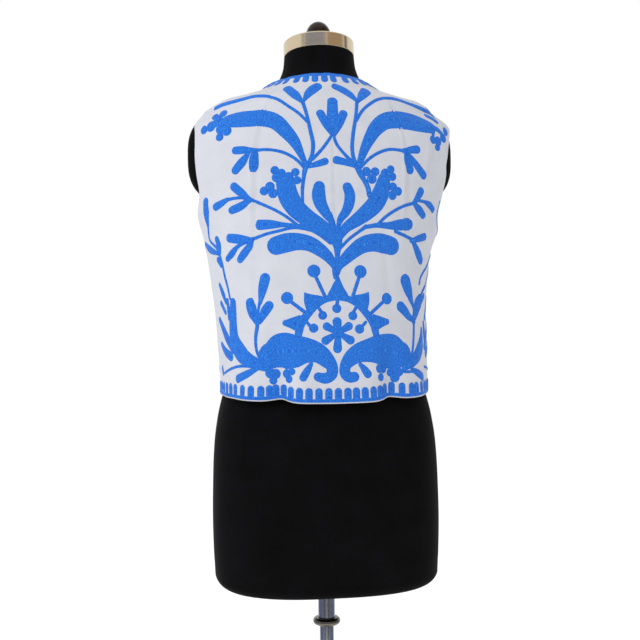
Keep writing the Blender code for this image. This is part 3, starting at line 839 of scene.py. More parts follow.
def turned(name, profile, material, node, body, seat=(0.0, 0.0, 0.0), tilt=0.0):
    """Spin a profile round its own axis, lean it and seat it. It stands for a node of the frame."""
    turns = 2 * math.pi * np.arange(TURNED_SEGMENTS + 1) / TURNED_SEGMENTS
    profile = np.array(profile)
    radius, height = profile[:, :1], profile[:, 1:]
    points = np.stack(np.broadcast_arrays(radius * np.cos(turns), radius * np.sin(turns), height), axis=-1)
    lean = np.array(Matrix.Rotation(tilt, 3, "X"))
    points = points @ lean.T + np.array(seat)
    lengths = np.concatenate(([0.0], np.cumsum(np.linalg.norm(np.diff(profile, axis=0), axis=1))))
    sewing = np.stack(np.broadcast_arrays(turns * profile[:, 0].max(), lengths[:, None]), axis=-1)
    faces = grid_faces(len(profile), TURNED_SEGMENTS + 1)
    piece = make_piece(name, points.reshape(-1, 3), faces, material, sewing.reshape(-1, 2), body)
    piece.data.set_sharp_from_angle(angle=SHARP_ANGLE)
    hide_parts(node)
    return piece


up_neck = np.array((0.0, -math.sin(NECK_TILT), math.cos(NECK_TILT)))
cap_seat = np.array((0.0, -10.0, NECK_TOP)) + up_neck * SEAM_GAP
CAP_HEIGHT = 21.5
knob_seat = cap_seat + up_neck * (CAP_HEIGHT + SEAM_GAP)
cap_profile = [(0.01, 0.0), (51.0, 0.0), *arc((51.2, 0.8), 0.8, -90, 0, 4), (52.0, 1.4), (52.0, 18.0)]
cap_profile += [*arc((49.0, 18.5), 3.0, 0, 90, 8)] + [(r, CAP_HEIGHT) for r in (48.0, 30.0, 0.01)]
turned("neck_cap_plate", cap_profile, tinted_brass, "neck_cap", "form", cap_seat, NECK_TILT)
knob_profile = [(0.01, 0.0), (15.0, 0.0), *arc((15.0, 1.2), 1.2, -90, 20, 4), (16.6, 4.0), (18.0, 7.6)]
dome_turns = np.radians(np.linspace(0, 89.5, 20))
knob_profile += [(18.5 * math.cos(t), 11.0 + 21.5 * math.sin(t)) for t in dome_turns]
turned("cap_knob", knob_profile, lacquer, "cap_finial", "form", knob_seat, NECK_TILT)
sleeve_profile = [(11.1, 604.3), (12.1, 604.3), *arc((12.1, 604.7), 0.4, -90, 0, 4)]
sleeve_profile += [(12.5, 605.2), (12.5, 989.0), (12.5, 990.0), (11.1, 990.0)]
turned("upper_tube", sleeve_profile, chrome, "pole_sleeve", "form")
pole_profile = [(9.2, 15.3), (10.5, 15.3), (10.5, 16.0)]
pole_profile += [(10.5, 779.0), (10.5, 779.6), (10.1, 780.0), (9.2, 780.0)]
turned("lower_tube", pole_profile, chrome, "stand_pole", "stand")
ring_turns = np.radians(np.linspace(-90, 90, 17))
ring = [(15.5 + 4.5 * math.cos(t), 599.0 + 5.0 * math.sin(t)) for t in ring_turns]
collar_profile = [(11.1, 594.0), *ring, (11.1, 604.0)]
turned("clamp_collar", collar_profile, dull_chrome, "height_collar", "collar")
hub_profile = [(10.8, 15.3), *arc((28.9, 16.1), 0.8, -90, 0, 4), (29.7, 21.3), (28.6, 23.4), (25.0, 26.6)]
hub_profile += [(21.0, 29.6), (19.0, 33.0), *arc((15.0, 45.3), 4.0, 0, 90, 7), (10.8, 49.3)]
turned("base_socket", hub_profile, chrome, "base_hub", "stand")
base_profile = [(0.01, 0.0), (168.0, 0.0), *arc((166.0, 4.0), 4.0, -60, 0, 5)]
base_profile += arc((166.0, 5.0), 4.0, 0, 90, 7)
base_profile += [(166.0 - 136.3 * k / 12, 9.0 + 6.0 * math.sin(math.pi * k / 24)) for k in range(1, 13)]
turned("base_disc", base_profile + [(0.01, 15.0)], enamel, "base_plate", "stand")

# %% [markdown]
# ## The three panels
# Each panel is a thin wall of cloth: an inner face, an outer face and a rim that joins them. The edges
# are turned under and stitched down, so the last 9 mm are thicker, with a fine groove where the stitch
# row holds them. The shells are far finer than the solids that they stand for, and carry the creases.


# %% Panel shells
HEM_WIDTH, HEM_RISE = 9.0, 0.45
STITCH_INSET, GROOVE_DEPTH, EDGE_ROUNDING = 1.5, 0.35, 0.5
HALF_ROWS = 84
low_rows = np.linspace(HEM_Z, UNDERARM_Z, HALF_ROWS)[:-1]
ROWS = np.concatenate((low_rows, np.linspace(UNDERARM_Z, NECKLINE_Z, HALF_ROWS)))


def panel_grid(panel, columns):
    """Angles and heights of a panel's points, row by row from the hem to the neckline."""
    side = panel.split("_")[0]
    first, last = edge_angle(side, ROWS), last_angle(side, ROWS)
    low = np.arctan2(np.sin(first), SIDE_CROWDING * np.cos(first))
    high = np.arctan2(np.sin(last), SIDE_CROWDING * np.cos(last))
    steps = low[:, None] + (high - low)[:, None] * np.linspace(0.0, 1.0, columns)
    angles = TURNS[panel](np.arctan2(SIDE_CROWDING * np.sin(steps), np.cos(steps)))
    return angles, row_height(angles, np.broadcast_to(ROWS[:, None], angles.shape))


def lengths_along(points, axis):
    """Lengths along a grid of points from its first edge. Axis 1 runs across it, axis 0 upward."""
    steps = np.linalg.norm(np.diff(points, axis=axis), axis=-1)
    zero = np.zeros_like(steps[:1] if axis == 0 else steps[:, :1])
    return np.cumsum(np.concatenate((zero, steps), axis=axis), axis=axis)


def piece_area(points):
    """Area of a grid of points, in square millimetres."""
    a, b = points[1:, 1:] - points[:-1, :-1], points[1:, :-1] - points[:-1, 1:]
    return float(np.sum(np.linalg.norm(np.cross(a, b), axis=-1)) / 2)


def make_panel(panel, columns, node):
    """One cloth panel as a closed thin shell, with its edges turned and stitched."""
    angles, heights = panel_grid(panel, columns)
    plain = cloth_point(angles, heights, np.full(angles.shape, OUTSIDE))
    across, upward = lengths_along(plain, 1), lengths_along(plain, 0)
    to_edge = np.minimum.reduce((across, across[:, -1:] - across, upward, upward[-1:] - upward))
    turned_under = HEM_RISE * (1 - smooth_step(HEM_WIDTH - STITCH_INSET, HEM_WIDTH + 1.0, to_edge))
    stitch_groove = -GROOVE_DEPTH * bell(to_edge - HEM_WIDTH + STITCH_INSET, 0.9)
    rounded = -EDGE_ROUNDING * bell(to_edge, 0.8)
    small = crease(angles, heights)
    outer = cloth_point(angles, heights, OUTSIDE + small + turned_under + stitch_groove + rounded)
    inner = cloth_point(angles, heights, REST_CLEARANCE + small)
    rows = len(ROWS)
    count = rows * columns
    flip = panel == "front_left"
    faces = grid_faces(rows, columns, 0, flip) + grid_faces(rows, columns, count, not flip)
    rim = [(0, c) for c in range(columns)] + [(r, columns - 1) for r in range(1, rows)]
    rim += [(rows - 1, c) for c in range(columns - 2, -1, -1)] + [(r, 0) for r in range(rows - 2, 0, -1)]
    ids = [r * columns + c for r, c in rim]
    for a, b in zip(ids, ids[1:] + ids[:1]):
        quad = (a, a + count, b + count, b)
        faces.append(quad[::-1] if flip else quad)
    points = np.concatenate((outer.reshape(-1, 3), inner.reshape(-1, 3)))
    sewing = np.stack((across, upward), axis=-1).reshape(-1, 2)
    piece = make_piece(panel + "_cloth", points, faces, cotton, np.concatenate((sewing, sewing)))
    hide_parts(node)
    width, length, area = across[:, -1].max() * MM, upward[-1].max() * MM, piece_area(outer) * MM**2
    print(panel, "cut:", round(width, 3), "m wide,", round(length, 3), "m long")
    return piece, width, length, area


panels = {
    "back": make_panel("back", 150, "vest_back"),
    "front_left": make_panel("front_left", 78, "vest_front_left"),
    "front_right": make_panel("front_right", 78, "vest_front_right"),
}

# %% [markdown]
# ## One stitched shape
# Every leaf, stem, horn and berry is one stroke: a smooth path with a width at each point and rounded
# ends. The embroiderer fills it with rows of chain stitch that lie up to a millimetre proud of the cloth,
# highest in the middle. A stroke could be a flat decal, but then its edge would cast no shadow. So each
# one is a low, crowned strip of mesh whose edges dip just under the cloth. The strip is laid on the real
# surface: flat millimetres are turned into lengths measured along the cloth, so no shape stretches where
# the body curves.


# %% Places on the cloth
# Level strokes are sewn wider where the cloth slopes away, so that they look even from straight behind.
STEEP_GAIN = 1.35


def on_cloth(face, across, z, lift):
    """Points on the outside of the cloth, from flat places on one face of it."""
    angle = angle_at(face, across, z)
    return cloth_point(angle, z, OUTSIDE + crease(angle, z) + lift)


def width_direction(face, across, z, run):
    """The flat step that goes one real millimetre sideways from each step of a path."""
    near = 0.5
    level_step = on_cloth(face, across + near, z, 0.0) - on_cloth(face, across - near, z, 0.0)
    upward_step = on_cloth(face, across, z + near, 0.0) - on_cloth(face, across, z - near, 0.0)
    level = np.sum(level_step * level_step, axis=-1)
    upward = np.sum(upward_step * upward_step, axis=-1)
    lean = np.sum(level_step * upward_step, axis=-1)
    a, b = run[:, 0], run[:, 1]
    length = np.sqrt(level * a**2 + 2 * lean * a * b + upward * b**2)
    area = np.sqrt(np.maximum(level * upward - lean * lean, 1e-9))
    sideways_step = np.stack((-lean * a - upward * b, level * a + lean * b), axis=-1)
    sideways_step[:, 1] *= np.clip(np.sqrt(upward), 1.0, STEEP_GAIN)
    return sideways_step / (area * length)[:, None], run / length[:, None]


# The edges of a stroke lie just under the cloth, so it is made this share and these millimetres wider.
SUNK_GAIN, SUNK_WIDTH = 1.08, 1.2
THINNEST = 1.5


def smooth_path(points, spacing=2.5):
    """A smooth run of across, height and width through a stroke's points, and its direction."""
    points = np.array(points, dtype=float)
    chords = np.linalg.norm(np.diff(points[:, :2], axis=0), axis=1)
    knots = np.concatenate(([0.0], np.cumsum(chords)))
    slopes = np.gradient(points, knots, axis=0)
    run = np.linspace(0.0, knots[-1], max(3, int(knots[-1] / spacing) + 2))
    i = np.clip(np.searchsorted(knots, run) - 1, 0, len(chords) - 1)
    step = chords[i][:, None]
    t = (run[:, None] - knots[i][:, None]) / step
    path = points[i] * (1 + 2 * t) * (1 - t) ** 2 + points[i + 1] * t * t * (3 - 2 * t)
    path += step * (slopes[i] * t * (1 - t) ** 2 - slopes[i + 1] * t * t * (1 - t))
    path[:, 2] = np.maximum(path[:, 2], THINNEST) * SUNK_GAIN + SUNK_WIDTH
    return path, np.gradient(path[:, :2], axis=0)


middle_back = on_cloth("back", np.array([0.0]), np.array([1200.0]), 0.0)[0]
print("back's middle at z 1200 lies at y", round(float(middle_back[1]), 1), "mm")

# %% How far a motif may reach
EDGE_MARGIN = 2.5
REACH = {}
for face in MIDDLES:
    turns = math.pi / 2 - edge_angle(face, TABLE_Z)
    REACH[face] = np.array([np.interp(turn, TABLE_TURN, row) for turn, row in zip(turns, LENGTHS[face])])
    sizes = [round(float(np.interp(z, TABLE_Z, REACH[face]))) for z in (940, 1040, 1150, 1280, 1350)]
    print(face, "reaches", sizes, "mm from its middle at five heights")

# %% Stroke maker
EDGE_SUNK, TOP_RISE, CROWN_POWER = -0.2, 0.9, 2.4
FEWEST_COLUMNS, COLUMN_WIDTH = 7, 3
# Each stroke's map starts this much further along, so that no two have the same dye.
MAP_STEP = 37.0
END_TURNS = (12.0, 26.0, 42.0, 58.0, 74.0, 88.0)


def rounded_end(rows, run_step, place, way):
    """Rows past one end of a stroke: their centres, half widths, distances past the end and side steps."""
    centres, half, past, side_step = rows
    turns = np.radians(END_TURNS)
    more_past = half[place] * np.sin(turns)
    more_centres = centres[place] + way * more_past[:, None] * run_step[place]
    same_side = np.repeat(side_step[place][None], len(turns), axis=0)
    return more_centres, half[place] * np.cos(turns), more_past, same_side


def stroke(face, points, flat_end=False, lift=0.0, start=0.0):
    """One stitched shape: its points, its map and its size as rows and columns."""
    if len(points) == 1:
        # A berry is a very short stroke.
        across, z, width = points[0]
        points = ((across - 0.1, z, width), (across + 0.1, z, width))
    path, run = smooth_path(points)
    # What lies past the panel's edge is left out, or pushed back inside it where little would be left.
    reach = np.interp(path[:, 1], TABLE_Z, REACH[face]) - path[:, 2] / 2 - EDGE_MARGIN
    inside = np.abs(path[:, 0]) <= reach
    if inside.sum() > 3:
        path, run, reach = path[inside], run[inside], reach[inside]
    path[:, 0] = np.clip(path[:, 0], -reach, reach)
    side_step, run_step = width_direction(face, path[:, 0], path[:, 1], run)
    body = (path[:, :2], path[:, 2] / 2, np.zeros(len(path)), side_step)
    start_cap, end_cap = rounded_end(body, run_step, 0, -1.0), rounded_end(body, run_step, -1, 1.0)
    rows = [np.concatenate((more[::-1], part)) for more, part in zip(start_cap, body)]
    if not flat_end:
        rows = [np.concatenate((part, more)) for part, more in zip(rows, end_cap)]
    centres, half, past, side_step = rows
    columns = int(max(FEWEST_COLUMNS, math.ceil(path[:, 2].max() / COLUMN_WIDTH) + 4))
    share_across = np.sin(np.linspace(-math.pi / 2, math.pi / 2, columns))
    flat = centres[:, None] + side_step[:, None] * (half[:, None] * share_across)[..., None]
    size = np.hypot(past, half)
    from_edge = size[:, None] - np.hypot(past[:, None], half[:, None] * share_across)
    length = np.concatenate(([0.0], np.cumsum(np.linalg.norm(np.diff(centres, axis=0), axis=1))))
    if flat_end:
        from_edge = np.minimum(from_edge, (length[-1] - length)[:, None])
    share = np.clip(from_edge / size[:, None], 0.0, 1.0)
    top_rise = np.minimum(TOP_RISE, size / 2)[:, None]
    rise = EDGE_SUNK + (top_rise - EDGE_SUNK) * (1 - (1 - share) ** CROWN_POWER)
    laid = on_cloth(face, flat[..., 0], flat[..., 1], rise + lift)
    sewing = np.stack(np.broadcast_arrays(start + length[:, None], from_edge), axis=-1)
    return laid.reshape(-1, 3), sewing.reshape(-1, 2), flat.shape[:2]


leaf_size = stroke("back", ((0, 1200, 6), (20, 1210, 12)))[2]
print("a leaf of", leaf_size, "rows and columns")


# %% Embroidery of one panel
def embroidery(name, face, strokes):
    """Join all the stitched shapes of a panel into one piece."""
    points, sewing, faces, count = [], [], [], 0
    for number, (shape, settings) in enumerate(strokes):
        laid, laid_map, (rows, columns) = stroke(face, shape, start=MAP_STEP * number, **settings)
        faces += grid_faces(rows, columns, count, flip=face == "front")
        points.append(laid)
        sewing.append(laid_map)
        count += len(laid)
    piece = make_piece(name, np.concatenate(points), faces, stitching, np.concatenate(sewing))
    print(name, "has", len(strokes), "stitched shapes")
    return piece


def placed(motif, sides=(1, -1), middle=0.0, outward=0.0, **settings):
    """Copy a motif to the sides it is written for, moved outward."""
    wanted = {"left": (1,), "right": (-1,), "both": (1, -1)}
    shapes = []
    for side, *points in motif:
        for sign in wanted[side]:
            if sign in sides:
                shape = [(middle + sign * (a + outward), z, width) for a, z, width in points]
                shapes.append((shape, settings))
    return shapes


def berries(side, *places):
    """Round stitched dots, one stroke for each place."""
    return [(side, place) for place in places]


two_berries = berries("both", (10, 1200, 8), (20, 1210, 8))
print("two berries on both sides give", len(placed(two_berries)), "shapes")

# %% [markdown]
# ## Stems and leaves below the neck
# Two thin stems rise from a node on each side, split into paired leaves under the neckline, and arch out
# over the shoulders. A small tulip hangs between them. Each stroke is a side, then points of millimetres
# from the middle, height, and width.

# %% Stems and leaves below the neck
NECK_LEAVES = (
    ("left", (39, 1338, 3), (48, 1349.5, 11.5), (59, 1361.5, 12)),
    ("left", (38, 1341, 3), (30, 1353, 11), (22, 1360.5, 13), (16, 1364.5, 11)),
    ("right", (37, 1342, 4), (27, 1353, 9.5), (17, 1360.5, 10.5), (8, 1365, 9)),
    ("right", (38, 1341, 3), (45, 1350.5, 11), (53, 1359, 14)),
)
STEMS = (
    ("left", (39, 1338, 4.5), (35, 1321, 4), (31, 1298, 4.5), (28, 1279, 5), (30, 1264, 4.5),
        (35, 1252, 6)),
    ("right", (37, 1344, 4), (33, 1318, 4), (28, 1294, 4.5), (26, 1272, 4.5), (28, 1259, 5),
        (32, 1250, 6)),
    ("left", (34, 1310, 3.5), (46, 1323, 3.5), (59, 1333.5, 3.5), (73, 1343.5, 3.5), (90, 1349.5, 4),
        (104, 1350.5, 4.5), (123, 1347.5, 5.5), (140, 1344.5, 6), (159, 1342, 6), (172, 1340, 6)),
    ("right", (34, 1314, 3.5), (43, 1328, 3.5), (56, 1339.5, 3.5), (74, 1348.5, 3.5), (90, 1350, 4),
        (104, 1348.5, 5), (123, 1344.5, 5.5), (140, 1341, 6), (159, 1337, 6), (170, 1334, 6)),
)
TULIP = (
    ("both", (2, 1292, 3), (8, 1306, 10), (16, 1323, 11)),
    ("left", (1, 1292, 3), (0, 1311, 14), (-2, 1341, 13.5)),
    ("left", (3, 1290, 3.5), (15, 1274, 3.5), (29, 1259, 4)),
    ("right", (1, 1290, 3.5), (4, 1281, 3.5), (11, 1271, 3.5), (19, 1262, 4), (26, 1255, 5)),
    ("left", (35, 1249, 5), (21, 1253, 8), (12, 1256, 9)),
    ("right", (30, 1251, 7), (13, 1256, 9), (4, 1258, 10.5)),
)
print("strokes:", len(NECK_LEAVES) + len(STEMS) + len(TULIP))

# %% [markdown]
# ## Shoulder horns and sprigs
# A long curved horn runs from each node to the armhole and ends in a bunch of berries. Below it a thin
# arc ends in three leaves. The two sides differ a little in the real vest, so each stroke is written for
# its own side.

# %% Shoulder horns and sprigs
SHOULDER_HORN = (
    ("left", (38, 1250, 5), (45, 1266, 9), (53, 1282.5, 14.5), (65, 1298, 19), (78, 1311, 21.5),
        (95, 1317, 23), (112, 1317, 23), (130, 1316.5, 22), (143, 1315, 18.5), (152, 1313, 15)),
    *berries("left", (154, 1327, 11), (166, 1323, 9), (161, 1319, 12), (171, 1309, 13.5),
        (183, 1305.5, 11), (163, 1311, 6), (147, 1301, 13), (156, 1304, 14), (158, 1293, 10.5)),
    ("right", (34, 1250, 6), (38, 1260, 9), (44, 1275, 12.5), (51.5, 1289, 16), (62, 1304, 20),
        (75, 1314, 22.5), (91, 1317.5, 25), (106, 1317.5, 25.5), (124, 1315.5, 25), (141, 1312, 20),
        (150, 1310, 16)),
    ("right", (150, 1311, 8), (162, 1309, 6), (172, 1303, 6)),
    ("right", (154, 1306, 5), (152, 1296, 4)),
    ("right", (150, 1329, 6), (158, 1326, 8), (165, 1321, 8)),
    *berries("right", (181, 1308, 11), (174, 1298, 13), (152, 1293, 11), (162, 1292, 13),
        (161, 1283, 9)),
)
SPRIG = (
    ("left", (42, 1249, 4), (51, 1258, 3.5), (67, 1267.5, 3.5), (89, 1272.5, 3.2), (105, 1272.5, 4),
        (112, 1272.5, 5)),
    ("left", (112, 1273, 4), (123, 1273, 9.5), (135, 1273, 10)),
    ("left", (114, 1271, 3), (126, 1256.5, 11.5), (136, 1246, 10.5)),
    ("left", (107, 1271, 7), (109, 1260, 13.5), (110, 1249, 13)),
    ("right", (38, 1249, 3.5), (49, 1260, 3.5), (64, 1269.5, 3.5), (79, 1274.5, 3.5), (93, 1274.5, 3.5),
        (102, 1273.5, 4.5)),
    ("right", (100, 1273.5, 5), (112, 1275.5, 9), (123, 1277, 11)),
    ("right", (109, 1270, 4), (122, 1255, 9.5), (135, 1241.5, 10.5)),
    ("right", (104, 1272, 8), (108, 1260, 11), (111, 1248, 12)),
)
LINK = (
    ("left", (37, 1252, 6), (40, 1244, 6), (42, 1233, 4.5), (44, 1217, 4), (44, 1200, 3)),
    ("right", (32, 1250, 8), (36, 1241, 7.5), (42, 1231, 6.5), (47, 1221, 6.5), (49, 1210, 6.5)),
)
print("strokes:", len(SHOULDER_HORN) + len(SPRIG) + len(LINK))

# %% [markdown]
# ## Middle horns, petals and branches
# The large horns and petals grow out of one trunk. The maker drew both sides by eye, so these are written
# apart too.

# %% Middle horns, petals and branches
HORN = (
    ("left", (0, 1144, 10), (8, 1158, 17), (21, 1166.5, 21), (37, 1177.5, 23), (53, 1191.5, 26),
        (63, 1208, 27), (67, 1227, 25)),
    ("right", (4, 1151, 9), (15, 1165, 13), (29, 1175, 17), (45, 1187, 21.5), (59, 1201, 24),
        (67, 1217, 23), (71, 1233, 17)),
    *berries("left", (81, 1244, 11), (72, 1240, 11), (79, 1234, 12), (53, 1241, 10.5), (51, 1230, 10.5),
        (62, 1235, 12), (88, 1222, 12), (96, 1216, 11.5), (84, 1212.5, 12.5)),
    *berries("right", (45.5, 1243, 12), (58, 1243, 11.5), (53, 1233, 13), (81, 1247, 10.5),
        (83, 1237, 11.5), (73, 1241, 13), (84, 1223, 11.5), (92, 1217, 11.5), (83, 1211, 12)),
)
PETALS = (
    ("left", (0, 1163, 5), (5, 1174, 9), (13, 1186, 13.5), (20, 1199, 17), (22, 1211, 18),
        (21, 1221, 15)),
    ("right", (3, 1163, 4), (7, 1176, 8.5), (15, 1187, 12), (20, 1199, 14), (21, 1212, 14),
        (18, 1221, 12.5)),
)
BRANCHES = (
    ("left", (8, 1144, 3.5), (22, 1155, 3.5), (32, 1161, 4), (49, 1167, 6)),
    ("left", (47, 1167, 5), (69, 1169, 5.5), (88, 1170, 11.5), (103, 1170, 13.5)),
    ("left", (49, 1166, 3.5), (65, 1179, 3.2), (79, 1188, 3.2), (93, 1195, 3.2), (115, 1205, 4)),
    ("left", (116, 1205, 5), (130, 1216, 11), (139, 1224, 11)),
    ("left", (118, 1205, 3.5), (125, 1207.5, 3.5), (139, 1208, 3.5), (149, 1207, 4)),
    ("left", (150, 1207, 5), (164, 1201, 10), (171, 1198.5, 10.5)),
    ("right", (118, 1204, 3.5), (128, 1206, 3.5), (141, 1205, 4)),
    ("right", (141, 1205, 5), (152, 1201.5, 9.5), (160, 1196.5, 10.5)),
    ("left", (117, 1204, 7), (131, 1196, 11), (143, 1192, 10.5)),
    ("left", (19, 1156, 3.4), (40, 1163, 3.4), (58, 1165, 3.4), (77, 1161, 3.4), (95, 1157, 3.4),
        (114, 1151, 4)),
    ("left", (115, 1150, 5), (136, 1152, 12), (150, 1154, 11.5)),
    ("right", (115, 1149, 5), (130, 1153, 9), (144, 1156.5, 10)),
    ("left", (118, 1149, 3), (138, 1141, 5.5), (147, 1133, 9.5), (156, 1126, 8)),
    ("left", (115, 1150, 5), (121, 1139, 9.5), (128, 1131, 11), (134, 1124, 9.5)),
    ("right", (117, 1150, 5), (124, 1141, 9), (131, 1131, 12.5), (137, 1123, 12)),
    ("right", (6, 1137, 3.5), (18, 1149, 3.5), (33, 1160, 3.5), (43, 1167, 5)),
    ("right", (41, 1166, 4.5), (59, 1169, 6), (79, 1169, 10), (91, 1170, 14), (108, 1172, 17)),
    ("right", (61, 1171, 3.5), (73, 1181.5, 3.5), (87, 1190.5, 3.5), (101, 1197, 3.5), (118, 1202, 4)),
    ("right", (118, 1203, 4), (127, 1213, 10), (131, 1220, 10)),
    ("right", (118, 1202, 5), (131, 1192, 12), (136, 1187, 11.5)),
    ("right", (87, 1161, 4), (102, 1156, 4), (118, 1151, 4)),
)
DROOPING_LEAF = (
    ("left", (2, 1102, 4), (2, 1111, 8.5), (9.5, 1123, 13), (22.5, 1135, 17.5), (36, 1143, 20),
        (52, 1146, 22.5), (68, 1144.5, 25.5), (81, 1141, 24.5)),
    ("right", (2, 1102, 4), (3.5, 1111, 9), (12, 1121.5, 14.5), (25, 1133, 18.5), (37, 1141, 21.5),
        (53, 1145, 24), (68, 1144, 26.5), (80, 1141, 25)),
)
TRUNK = (
    ("left", (-2, 1164, 8), (-1, 1153, 16), (-2, 1143, 13), (-2, 1131, 7.5), (-1, 1117, 5.5),
        (2, 1107, 7), (2, 1097, 4.5)),
)
print("strokes:", len(HORN) + len(PETALS) + len(BRANCHES) + len(DROOPING_LEAF) + len(TRUNK))

# %% [markdown]
# ## Star and flower
# A star with berries on stalks stands over a six-petalled flower. Its points have flat feet, which the
# arch across them covers.

# %% Star and flower
STAR_POINTS = (
    ("left", (-2, 1098, 2), (-1, 1084, 16), (-1, 1070, 31), (-1, 1067, 33)),
    ("both", (44, 1076, 1.5), (39, 1069, 15), (29, 1059, 33)),
    ("both", (71, 1036.5, 7.5), (61, 1036, 15.5), (50, 1035, 25)),
)
STAR = (
    ("both", (54, 1019, 9), (50, 1035, 11), (40, 1048.5, 9.5), (29, 1059.5, 8), (16, 1067.5, 8),
        (1, 1070.5, 8)),
    ("left", (31, 1106, 16.8)),
    ("left", (29, 1099, 4), (17, 1072, 4)),
    ("left", (68, 1070, 15.5)),
    ("left", (63, 1065, 4), (45, 1051, 4)),
    ("left", (-1, 1068, 4), (1, 1059, 4)),
    ("left", (1, 1055, 11.5)),
    ("left", (27, 1058, 3.5), (21, 1049, 3.5)),
    ("left", (20.5, 1046, 11)),
    ("left", (42, 1037, 3.5), (37, 1031, 3.5)),
    ("left", (33, 1029, 11.5)),
    ("right", (33.5, 1105, 17)),
    ("right", (31, 1097, 4), (22, 1072, 4)),
    ("right", (72, 1068, 15)),
    ("right", (65, 1063, 4), (48, 1049, 4)),
    ("right", (27, 1058, 3.5), (22, 1050, 3.5)),
    ("right", (21, 1045, 11.5)),
    ("right", (39, 1036, 3.5), (34, 1031, 3.5)),
    ("right", (30, 1027, 12)),
)
FLOWER = (
    ("left", (0, 1022, 14)),
    ("left", (0, 1025, 8), (1, 1037, 12)),
    ("left", (0, 1019, 7), (1, 1001, 11.5)),
    ("both", (3, 1024, 6), (15, 1031, 10.5)),
    ("both", (4, 1020, 6), (17, 1012, 11)),
)
print("strokes:", len(STAR_POINTS) + len(STAR) + len(FLOWER))

# %% [markdown]
# ## Paisleys, corner leaves and side vines
# Two paisleys meet under the flower. Curved leaves fill the corners, and a loose vine climbs each side
# seam.

# %% Paisleys, corner leaves and side vines
PAISLEY = (
    ("left", (92, 993, 35), (80, 998, 47.5), (60, 998.5, 44.5), (42, 999, 33.5), (27, 995, 26),
        (16, 986, 21), (9, 976, 15.5), (9.5, 966.5, 14.5), (18, 961.5, 14), (28, 963.5, 11.5)),
    *berries("left", (95, 969, 13), (88, 968, 13), (92, 959, 10), (72, 968, 12), (64, 971, 9),
        (69, 961, 10)),
    ("left", (37, 981, 4.5), (42, 973, 8.5), (48, 963, 10)),
    ("right", (93, 991, 35.5), (80, 995, 47), (60, 998.5, 41), (42, 997.5, 31), (27, 994, 25),
        (16, 986.5, 20), (9, 976.5, 14.5), (9, 967, 14), (15, 962, 13.5), (21, 962.5, 13)),
    ("right", (30, 979, 5), (35, 973, 8.5), (40, 966, 10.5)),
    *berries("right", (59, 973, 12), (66, 972, 11), (61, 961, 10), (79, 967, 11), (92, 967, 11),
        (86, 960, 13), (86, 970, 12)),
)
CORNER = (
    ("left", (98, 976, 10), (117, 983, 16), (131, 989, 21), (144, 1001, 24), (152, 1015, 20),
        (153.5, 1031, 16.5), (152.5, 1052, 13.5), (151, 1066, 11)),
    ("left", (103, 981, 4), (112, 998, 3.5), (113.5, 1015, 4), (111, 1032, 5), (109, 1054, 3),
        (107, 1064, 4)),
    ("left", (109, 1042, 14)),
    ("left", (111, 1038, 8), (119, 1055, 14.5), (121, 1064, 13.5)),
    ("left", (106, 1040, 7), (98, 1054, 13), (93, 1060, 12)),
    ("left", (106, 1064, 5), (101, 1086, 13.5), (98, 1097, 14)),
    ("left", (113, 975, 5), (131, 967, 10), (149, 960.5, 11)),
    ("left", (115, 977, 3), (127, 978, 3), (142, 978, 3), (165, 974, 3), (190, 967, 3)),
    ("left", (198, 967, 8), (201, 973, 9)),
    ("right", (100, 973, 8), (115, 980, 13), (127, 990, 18), (137, 1003, 18), (141, 1015, 11),
        (142, 1026, 5)),
    ("right", (104, 975, 4), (112.5, 988, 3.5), (116, 1003, 3.5), (118.5, 1018, 3.5), (120, 1031, 3.5)),
    ("right", (120, 1036, 8), (121, 1054, 4), (115, 1067, 9), (109.5, 1080, 16), (104.5, 1093, 18)),
    ("right", (119, 1038, 7), (110, 1043, 10), (102, 1051, 13), (95, 1057, 14)),
    ("right", (121, 1040, 8), (128, 1052, 14), (133, 1062, 18), (138, 1068, 14)),
    ("right", (113, 970, 5), (127, 964, 10), (141, 958, 11)),
    ("right", (88, 969, 3), (104, 967, 3), (118, 967, 3)),
    ("right", (150, 972, 3), (170, 970, 3), (192, 966, 3)),
    ("right", (160, 1000, 9), (156, 1018, 12), (152, 1034, 6)),
)
SIDE_VINE = (
    ("both", (191, 1207, 12), (191, 1194, 13), (191, 1176, 6)),
    ("left", (191, 1174, 3.5), (195, 1156, 3.5), (178, 1142, 3.5), (172, 1133, 3.5), (168, 1123, 3.5),
        (163, 1104, 3), (157, 1085, 3), (155, 1071, 3.5)),
    ("left", (226, 1151, 9), (200, 1142, 11), (175, 1134, 4)),
    ("left", (175, 1154, 9), (172, 1145, 10), (170, 1135, 4)),
    ("left", (176, 1126, 8), (169, 1117, 5)),
    ("left", (179, 1091, 6), (173, 1080, 9), (166, 1066, 5)),
    ("left", (181, 1065, 8), (169, 1052, 6)),
    ("left", (162, 1069, 6), (159, 1044, 7)),
    ("both", (193, 1042, 9), (181, 1030, 12), (167, 1014, 13), (154, 1000, 10)),
    ("both", (191, 1007, 9), (177, 997, 12), (162, 991, 13)),
    ("right", (191, 1176, 3.5), (205, 1166, 3.5), (220, 1156, 7), (216, 1147, 9), (212, 1138, 5)),
    ("right", (212, 1138, 3), (186, 1132, 3), (160, 1114, 3.5), (146, 1105, 3.5), (139, 1098, 3),
        (136, 1089, 3)),
    ("right", (200, 1122, 3), (182, 1106, 3), (160, 1091, 3.5), (146, 1080, 3.5), (138, 1070, 3)),
    ("right", (138, 1062, 6), (150, 1072, 9)),
    ("right", (182, 1070, 8), (170, 1056, 9), (158, 1040, 6)),
)
print("strokes:", len(PAISLEY) + len(CORNER) + len(SIDE_VINE))

